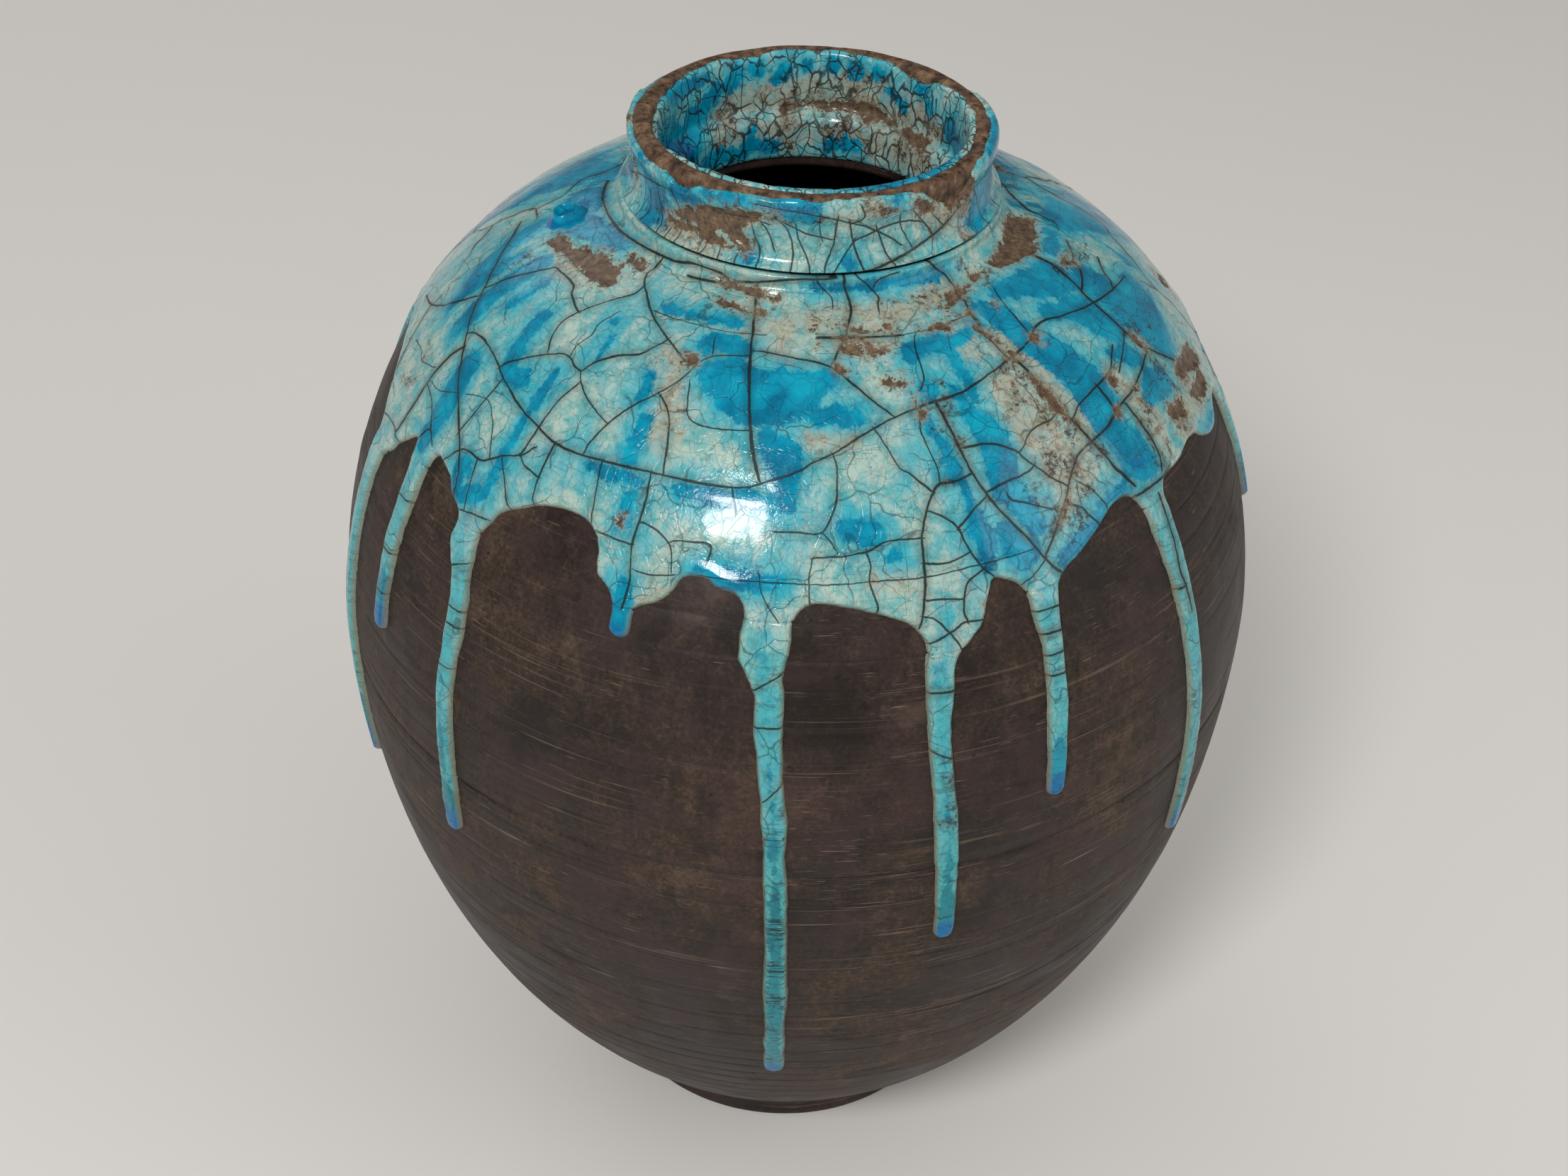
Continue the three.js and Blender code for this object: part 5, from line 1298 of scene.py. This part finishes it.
# The neck's glaze: how far down from the lip it begins, and its patches, as (azimuth, arc, half width).
# Here an arc runs down from the middle of the lip's top.
neckGlaze = {
    "thick": 1.1, "edge": 1.3, "net": 0.3, "rag": (0.7, 0.35), "lumps": (12, 4), "seed": 40,
    "upper": [(-180, 5), (-150, 4.2), (-130, 5.4), (-112, 3.4), (-104, 1.8), (-95, 3.6), (-90, 2.6),
              (-82, 3.2), (-76, 5), (-68, 4.2), (-60, 5.2), (-50, 4.6), (-45, 6.4), (-40, 6.6), (-35, 3.6),
              (-24, 2.5), (-12, 2.1), (2, 2.3), (8, 1.9), (16, 1.8), (24, 1.9), (30, 2.5), (36, 4.2),
              (40, 7), (44, 9.4), (50, 12), (55, 10), (59, 5), (64, 3), (74, 1.7), (86, 2), (100, 1.6),
              (112, 2.8), (124, 5), (140, 4.2), (160, 5.4), (180, 5)],
    "deep": [[(-63, 7, 3), (-58, 14, 3.4), (-56, 24, 3.6)], [(-46, 9, 1.6), (-38, 8.6, 1.8), (-35, 7.6, 1)],
             [(-34, 5, 1), (-16, 4.7, 1.1), (0, 4.8, 1.1)], [(26, 3.6, 1), (25.4, 6, 0.8)],
             [(-72, 8, 3), (-80, 14, 4), (-90, 20, 4)], [(-54, 12, 2.6), (-52, 20, 3)],
             [(12, 20, 1.4), (13, 22, 1.4)], [(-18, 21, 1.8)], [(60, 20, 4), (72, 12, 7), (90, 10, 7)],
             [(104, 17, 5), (122, 13, 4)], [(150, 16, 4)], [(-150, 15, 5), (-128, 18, 4)], [(-170, 8, 4)],
             [(-100, 8, 4), (-116, 12, 4)]],
    "blue": [[(-44, 8.8, 1), (-37, 8.2, 1)], [(-8, 4.8, 0.6), (0, 4.8, 0.7)],
             [(-80, 14, 2.6), (-90, 18, 2.6)], [(74, 8, 4), (90, 7, 4)]],
    "bare": [[(-43, 15, 1.6), (-35, 13.4, 3), (-27, 11.4, 3.6), (-20, 9.4, 2.8), (-14, 7.8, 1)],
             [(-24, 15.4, 1.4), (-19, 17, 0.8)], [(-46, 18.4, 1), (-35, 17.6, 1.4), (-25, 18.6, 1)],
             [(-20, 19.6, 0.5)], [(22, 6.4, 0.8), (26, 7, 0.6)], [(45, 7, 2), (51, 9, 4.6), (56, 8, 3)],
             [(108, 8, 2.4)], [(-140, 7, 2.6)], [(170, 9, 2.4)], [(-10, 7.3, 0.5)],
             [(-86, 5, 1.6), (-78, 9, 1.6), (-71, 15, 1.2)], [(34, 6, 1.4), (38, 9, 1.8)]],
    "cream": [[(-50, 22, 4), (-40, 23, 4.4), (-30, 23, 3)], [(-14, 8.4, 1.4), (-8, 9, 1)],
              [(40, 10, 4), (46, 16, 5)], [(6, 6, 1.4), (20, 5.4, 1.4)], [(54, 16, 5), (56, 22, 4)],
              [(130, 18, 4)], [(-110, 14, 4)]],
    "cracks": [(0.7, [(14, 24.6), (20, 23.4), (28, 21.4), (33, 20), (40, 17.9), (46, 15.9), (52, 13.6),
                      (58, 12.6)]),
               (0.35, [(-62, 6), (-62.6, 12), (-62, 24)]), (0.35, [(-59, 14), (-58, 20), (-60, 27)]),
               (0.4, [(-55.5, 9), (-53.6, 14), (-51, 19), (-50, 24)]),
               (0.4, [(-46.6, 8), (-46.4, 10), (-44, 12.6)]), (0.3, [(-46, 19), (-46.4, 27)]),
               (0.35, [(-41.6, 16), (-42, 24)]), (0.35, [(-31.4, 15), (-31.8, 22), (-34, 26)]),
               (0.3, [(-27, 17), (-26.4, 27)]), (0.35, [(-22, 12.6), (-21, 18), (-21.6, 27)]),
               (0.35, [(-18, 8), (-17, 13), (-14.4, 19), (-15.4, 27)]),
               (0.35, [(-14.6, 10), (-12, 13), (-10, 18)]),
               (0.35, [(-10, 7.6), (-6, 12), (-4.4, 18), (-5, 26)]),
               (0.35, [(-4, 9), (-3, 14), (0, 20), (1, 26)]), (0.35, [(3, 6.6), (3.4, 12), (4, 14)]),
               (0.45, [(8.4, 6.6), (7.6, 15), (5, 22), (5, 27)]),
               (0.45, [(12, 8), (13.4, 15), (15.4, 21), (17, 26)]), (0.35, [(14, 14), (10, 20), (6, 26)]),
               (0.4, [(20.4, 11), (22, 15), (24, 20), (26, 24)]), (0.35, [(28, 8), (28.6, 12), (33, 20)]),
               (0.45, [(-16, 4.6), (-4, 5.4), (6, 6.8), (13, 9), (19, 11.6), (25, 15), (29, 18)]),
               (0.45, [(-10, 8), (-5, 10.4), (0, 12.4), (7, 14)]),
               (0.45, [(-28, 10.6), (-18, 9.6), (-12, 10.4)]),
               (0.5, [(14, 14.6), (19, 12.8), (24, 11.4), (30, 11), (37, 13), (40, 17)]),
               (0.4, [(32, 7), (36, 12), (40, 16)]), (0.35, [(36, 6.4), (41, 12), (45, 16)]),
               (0.4, [(15, 4), (16.4, 7), (13, 9)]), (0.35, [(-80, 14), (-66, 12), (-54, 10)]),
               (0.5, [(-100, 22), (-80, 17), (-66, 12), (-50, 9.4)]), (0.4, [(60, 9), (64, 16), (66, 25)]),
               (0.4, [(76, 8), (75, 16), (78, 25)]), (0.35, [(86, 10), (90, 25)]),
               (0.35, [(-74, 9), (-72, 16), (-75, 26)]), (0.35, [(-90, 9), (-88, 26)])],
}

# The same for the lining, whose arcs run up the bore: "upper" is how far from the middle of the lip's top
# it ends, as (azimuth, length).
liningGlaze = {
    "thick": 0.85, "edge": 1.2, "net": 0.9, "rag": (0.8, 0.4), "lumps": (9, 3), "seed": 50,
    "upper": [(-180, 2.6), (-165, 2), (-150, 3.4), (-135, 2.2), (-118, 3), (-104, 5), (-90, 6.4),
              (-70, 5.4), (-50, 2.4), (-20, 1.5), (10, 1.6), (34, 1.1), (60, 1.5), (84, 3.2), (100, 2.4),
              (120, 2.6), (134, 5), (142, 5.6), (150, 2.6), (165, 1.8), (180, 2.6)],
    "deep": [[(-176, 31.4, 2.6)], [(-168, 30, 2.6), (-164, 27, 1.8)], [(-157, 31, 2.6)],
             [(-148, 30.6, 2.6), (-144, 28, 2.4)],
             [(-138, 27, 2.6), (-128, 22, 4), (-118, 16, 6), (-104, 22, 6)], [(173, 31.6, 2.4)],
             [(164, 31, 2.6)], [(155, 31.6, 2.2)], [(147, 27, 2.2), (143, 24, 2)], [(134, 31, 2.4)],
             [(128, 27, 2.4)], [(-150, 8, 3), (-164, 7, 2.4)], [(172, 7, 2), (160, 8, 2.4)],
             [(114, 26, 2.6), (98, 20, 4)], [(-132, 32, 2), (-112, 32, 3)],
             [(-128, 7, 3.4), (-150, 6, 2.4)], [(-152, 12, 2)], [(165, 9, 1.8)], [(60, 22, 6), (40, 26, 4)],
             [(-60, 20, 6), (-30, 24, 4)], [(10, 34, 1.6), (34, 35, 2), (58, 34.6, 2)]],
    "blue": [[(112, 25, 2)], [(-116, 12, 5), (-108, 16, 5)], [(96, 22, 2)], [(24, 35, 1), (50, 35, 1)]],
    "bare": [[(-168, 18, 1.4), (-180, 19.4, 1.6)],
             [(180, 19.4, 1.6), (168, 20, 2.4), (156, 19, 2.4), (146, 18, 1.6)],
             [(138, 16, 1.2), (128, 15, 2)], [(-140, 19, 1)]],
    "cream": [[(-180, 25, 6), (-160, 23, 5), (-146, 20, 4)], [(180, 25, 6), (150, 24, 6), (126, 22, 5)],
              [(-170, 10, 5), (-140, 12, 4)], [(170, 10, 4), (124, 10, 5)]],
}


def patchMarks(line, look, cracksHere):
    # the glaze's marks on another turned line than the outside
    def marks(azimuth, arc):
        radius = line.radius(arc)
        found = crackMarks(azimuth, arc, radius, cracksHere)
        pools = [strokes(azimuth, arc, radius, look[key]) for key in ("deep", "blue", "bare")]
        found["pools"] = np.stack(pools, axis=1)
        cream = strokes(azimuth, arc, radius, look["cream"])
        found["stains"] = np.stack([cream, cream - 1.5, 0 * cream], axis=1)
        found["coat"] = np.tile([look["net"], 3, 0], (len(azimuth), 1))
        found["flow"] = flowMarks(azimuth, arc)
        return found
    return marks


def raggedEdge(line, look, azimuth, arc):
    points = line.place(azimuth, arc, 0)
    coarse, fine = look["rag"]
    return coarse * cloud(points, 5, look["seed"] + 1) + fine * cloud(points, 1.8, look["seed"] + 2)


def neckThickness(line, look, azimuth, arc, rounding):
    # how far the neck's glaze stands off its clay, less where it wore off
    points = line.place(azimuth, arc, 0)
    large, small = look["lumps"]
    full = look["thick"] + 0.12 * cloud(points, large, look["seed"] + 3)
    full = full + 0.08 * cloud(points, small, look["seed"] + 4)
    bare = strokes(azimuth, arc, line.radius(arc), look["bare"])
    bare = bare + 0.9 * cloud(points, 2.6, look["seed"] + 5)
    return glaze["sunk"] + (full - glaze["sunk"]) * rounding - 0.6 * soften(bare, -0.4, 0.4) * rounding


def neckCoat():
    upper = np.array(neckGlaze["upper"], float)
    last = neckLine.length + 0.1

    def depth(azimuth, arc):
        rag = raggedEdge(neckLine, neckGlaze, azimuth, arc)
        return np.minimum(arc - np.interp(azimuth, upper[:, 0], upper[:, 1]) + rag, last - arc)

    def lift(azimuth, arc):
        rounding = np.where(arc > last - 1.6, 1, rounded(depth(azimuth, arc) / neckGlaze["edge"]))
        made = neckThickness(neckLine, neckGlaze, azimuth, arc, rounding)
        made = made + glaze["fillet"] * np.exp(-((last - arc) / glaze["corner"]) ** 2)
        return underRim(neckLine, arc, made)

    arcs = np.concatenate([np.linspace(0.6, 9, 17), np.linspace(9, last + 0.3, 27)[1:]])
    return clippedSheet("neck_glaze", "neck_coat", neckLine, np.linspace(-180, 180, 541), arcs, depth, lift,
                        glaze["under"] - 0.2, patchMarks(neckLine, neckGlaze, neckGlaze["cracks"]),
                        wraps=True, strips=2)


def neckLining():
    low, high = 2.4, boreLine.length
    upper = np.array(liningGlaze["upper"], float)

    def depth(azimuth, arc):
        rag = raggedEdge(boreLine, liningGlaze, azimuth, arc)
        return np.minimum(arc - low, high - np.interp(azimuth, upper[:, 0], upper[:, 1]) - arc + rag)

    def lift(azimuth, arc):
        rounding = rounded(depth(azimuth, arc) / liningGlaze["edge"])
        return underRim(boreLine, arc, neckThickness(boreLine, liningGlaze, azimuth, arc, rounding))

    arcs = np.concatenate([np.linspace(1.6, high - 8, 26), np.linspace(high - 8, high - 0.3, 16)[1:]])
    return clippedSheet("lining_glaze", "neck_lining", boreLine, np.linspace(-180, 180, 481), arcs, depth,
                        lift, glaze["under"] - 0.2, patchMarks(boreLine, liningGlaze, []),
                        wraps=True, strips=2)


def aboveRoots(azimuth, arc):
    # positive above the line where a run parts from the coat
    az = turnedRound(azimuth)
    value = np.full(az.shape, 20.0)
    for name, line in runLines.items():
        beside = np.abs(az - np.interp(roots[name], line[:, 1], line[:, 0]))
        beside = beside * np.radians(outside.radius(roots[name]))
        value = np.where(beside < 12, np.minimum(value, roots[name] - arc), value)
    return value


def shoulderCoat():
    arcs = np.concatenate([np.arange(0.1, glaze["hemZone"], glaze["arcStep"]),
                           np.arange(glaze["hemZone"], glaze["lowestHem"] + 1, glaze["hemStep"])])
    azimuths = np.arange(-180, 180 + 0.01, glaze["azimuthStep"])

    def keep(azimuth, arc):
        return np.minimum(glazeDepth(azimuth, arc), aboveRoots(azimuth, arc))

    return clippedSheet("shoulder_glaze", "shoulder_coat", outside, azimuths, arcs, keep, glazeLift,
                        glaze["under"], glazeMarks, wraps=True, strips=3)


def glazeRun(name):
    line = runLines[name]
    root, end = roots[name], line[-1, 1] + 6
    middle = line[:, 0]
    beside = np.degrees(12 / outside.radius(root))
    azimuthStep = np.degrees(glaze["runAcross"] / outside.radius(root))
    azimuths = np.arange(middle.min() - beside, middle.max() + beside, azimuthStep)
    arcs = np.arange(root - 0.01, end, glaze["runDown"])

    def keep(azimuth, arc):
        return np.minimum(glazeDepth(azimuth, arc), arc - root)

    return clippedSheet(name + "_glaze", name, outside, azimuths, arcs, keep, glazeLift, glaze["under"],
                        glazeMarks)


# The drop that fell from the kiln's roof: a blue bead on the shoulder, with a burst bubble's pit
drop = {
    "azimuth": -83, "radius": 68.5, "along": 6.5, "across": 4.6, "height": 3.3, "lift": 1.35, "sunk": 1.2,
    "pit": 2.7, "pitAt": (0.16, -0.12), "pitSize": 0.62, "ridge": 0.8,
    "deep": 8, "blue": 2.4, "blueLoss": 6,    # its looks, and how much paler the pit's ridge is
    "rings": 30, "turns": 80,
}


def kilnDrop():
    n, rings = drop["turns"], drop["rings"]
    shoulder = slice(0, 300)    # the line's points down to the shoulder, where its radius only grows
    arcHere = float(np.interp(drop["radius"], outside.points[shoulder, 0], outside.arcs[shoulder]))
    turns = np.arange(n) * 2 * np.pi / n
    reach, turn = np.meshgrid(np.linspace(0, 1, rings + 1)[1:], turns, indexing="ij")
    x, y = reach * np.cos(turn), reach * np.sin(turn)
    flat = np.stack([x, y, 0 * x], axis=-1)
    wobble = 1 + 0.16 * cloud(flat * 2, 1.1, 61)
    dome = np.clip(1 - reach ** 2.2, 0, 1) ** 0.7 * (1 + 0.2 * cloud(flat * 3, 1.4, 62))
    away = np.hypot(x - drop["pitAt"][0], y - drop["pitAt"][1]) / drop["pitSize"]
    away = away + 0.1 * cloud(flat * 3, 0.9, 63)
    rolled = drop["ridge"] * np.exp(-((away - 0.95) / 0.26) ** 2) * soften(1 - reach, 0, 0.2)
    height = drop["height"] * dome - drop["pit"] * (1 - soften(away, 0.3, 0.92)) + rolled
    height = np.clip(height, 0.25, 4) * np.where(reach > 0.999, 0, 1)
    radius = outside.radius(arcHere)
    azimuth = drop["azimuth"] + np.degrees(x * wobble * drop["across"] / radius)
    arc = arcHere + y * wobble * drop["along"]
    points = outside.place(azimuth, arc, drop["lift"] + height)
    middle = np.array([drop["azimuth"]]), np.array([arcHere])
    top = outside.place(*middle, drop["lift"] + float(height[0].mean()))
    below = outside.place(*middle, drop["lift"] - drop["sunk"])
    skirt = outside.place(azimuth[-1], arc[-1], drop["lift"] - drop["sunk"])
    every = np.vstack([points.reshape(-1, 3), skirt, top, below])
    topAt, belowAt = len(every) - 2, len(every) - 1
    faces = []
    for k in range(n):
        d = (k + 1) % n
        faces.append([topAt, d, k])
        for r in range(rings):
            faces.append([r * n + k, r * n + d, (r + 1) * n + d, (r + 1) * n + k])
        faces.append([belowAt, rings * n + k, rings * n + d])
    flatUv = np.vstack([np.stack([0.5 + 0.45 * x, 0.5 + 0.45 * y], axis=-1).reshape(-1, 2),
                        np.stack([0.5 + 0.49 * x[-1], 0.5 + 0.49 * y[-1]], axis=-1),
                        [[0.5, 0.5], [0.5, 0.5]]])
    uvs = np.vstack([flatUv[face] for face in faces])
    count = len(every)
    blue = (drop["blue"] - drop["blueLoss"] * np.exp(-((away - 0.9) / 0.3) ** 2)).ravel()
    blue = np.concatenate([blue, np.full(n + 2, 2.0)]) * 1.6
    none = -9.0    # well outside every patch
    marks = {f"crack{k}": np.tile([farFromCrack, 0, 0], (count, 1)) for k in range(crackLayers)}
    marks["pools"] = np.stack([np.full(count, float(drop["deep"])), blue, np.full(count, none)], axis=1)
    marks["stains"] = np.tile([none, none, 0], (count, 1))
    marks["coat"] = np.tile([0, 3.0, 0], (count, 1))
    marks["flow"] = every
    return newPiece("kiln_drop_glaze", every, faces, uvs, turquoiseGlaze, "kiln_drop", marks)


print("clay")
lowerBody()
upperBody()
neckCollar()
print("glaze on the neck")
neckCoat()
neckLining()
print("glaze on the shoulder")
shoulderCoat()
print("glaze runs")
for runName in runs:
    glazeRun(runName)
kilnDrop()

print("floor, light and camera")
studio = {
    "floorColour": "e4e1dc", "floorMottle": "d6d2cb", "floorSize": 40, "aim": 0.2,
    "skyColour": "f2f1ef", "sky": 0.52, "backdrop": 0.92, "mirrored": 0.14,
    "key": {"from": (-0.42, -1.25, 1.42), "size": 0.42, "power": 16.5},
    "side": {"from": (1.5, -0.5, 0.9), "size": 1.2, "power": 5},
    "back": {"from": (-0.9, 1.3, 1.3), "size": 1.0, "power": 2.5},
}
view = {
    "frame": (2212, 1659), "focal": 3200, "sensor": 36, "offset": (17.3, -22.2),
    "distance": 0.7253, "elevation": 36.37, "roll": 2.12, "target": 0.19,
}


def floor():
    half = studio["floorSize"] / 2
    mesh = bpy.data.meshes.new("floor")
    corners = [(-half, -half, 0), (half, -half, 0), (half, half, 0), (-half, half, 0)]
    mesh.from_pydata(corners, [], [(0, 1, 2, 3)])
    f = Finish("pale_floor")
    where = f.place()
    share = f.noise(where, 60, 2) * 0.06
    mottle = f.mix(share, colour(studio["floorColour"]), colour(studio["floorMottle"]))
    mesh.materials.append(f.shade(mottle, 0.85, f.bump(f.noise(where, 3, 2), 0.1, 0.1)))
    made = bpy.data.objects.new("floor", mesh)
    bpy.context.scene.collection.objects.link(made)
    made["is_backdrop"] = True


def lamp(name, look):
    light = bpy.data.lights.new(name, "AREA")
    light.shape = "DISK"
    light.size = look["size"]
    light.energy = look["power"]
    made = bpy.data.objects.new(name, light)
    made.location = look["from"]
    towards = Vector((0, 0, studio["aim"])) - Vector(look["from"])
    made.rotation_euler = towards.to_track_quat("-Z", "Y").to_euler()
    bpy.context.scene.collection.objects.link(made)


def sky():
    # the world as the camera sees it, as the glaze mirrors it and as it lights the jar
    world = bpy.data.worlds.new("studio")
    bpy.context.scene.world = world
    world.use_nodes = True
    f = Finish("sky", world.node_tree)
    seen = f.node("ShaderNodeLightPath", out="Is Camera Ray")
    mirrored = f.node("ShaderNodeLightPath", out="Is Glossy Ray")
    strength = seen * studio["backdrop"] + mirrored * studio["mirrored"]
    strength = strength + (1 - seen - mirrored) * studio["sky"]
    look = {"Color": colour(studio["skyColour"]), "Strength": strength}
    shade = f.node("ShaderNodeBackground", None, look)
    f.node("ShaderNodeOutputWorld", None, {"Surface": shade}, out=None)


def camera():
    tilt, roll = math.radians(view["elevation"]), math.radians(view["roll"])
    forward = Vector((0, math.cos(tilt), -math.sin(tilt)))
    level = Vector((0, math.sin(tilt), math.cos(tilt)))
    right = Vector((math.cos(roll), 0, 0)) + level * math.sin(roll)
    up = level * math.cos(roll) - Vector((math.sin(roll), 0, 0))
    place = Vector((0, 0, view["target"])) - forward * view["distance"]
    lens = bpy.data.cameras.new("camera")
    lens.sensor_width = view["sensor"]
    lens.lens = view["focal"] / view["frame"][0] * view["sensor"]
    lens.shift_x = -view["offset"][0] / view["frame"][0]
    lens.shift_y = view["offset"][1] / view["frame"][0]
    lens.clip_start = 0.01
    lens.clip_end = 100
    made = bpy.data.objects.new("camera", lens)
    made.matrix_world = Matrix((
        (right.x, up.x, -forward.x, place.x), (right.y, up.y, -forward.y, place.y),
        (right.z, up.z, -forward.z, place.z), (0, 0, 0, 1),
    ))
    bpy.context.scene.collection.objects.link(made)
    bpy.context.scene.camera = made


floor()
sky()
for lampName in ("key", "side", "back"):
    lamp(lampName, studio[lampName])
camera()
bpy.context.scene.view_settings.view_transform = "Standard"

seenLow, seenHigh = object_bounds()
for label, corners in (("packed", (*cadLow, *cadHigh)), ("visual", (*seenLow, *seenHigh))):
    print("size,", label, [round(v * 1000, 2) for v in corners])
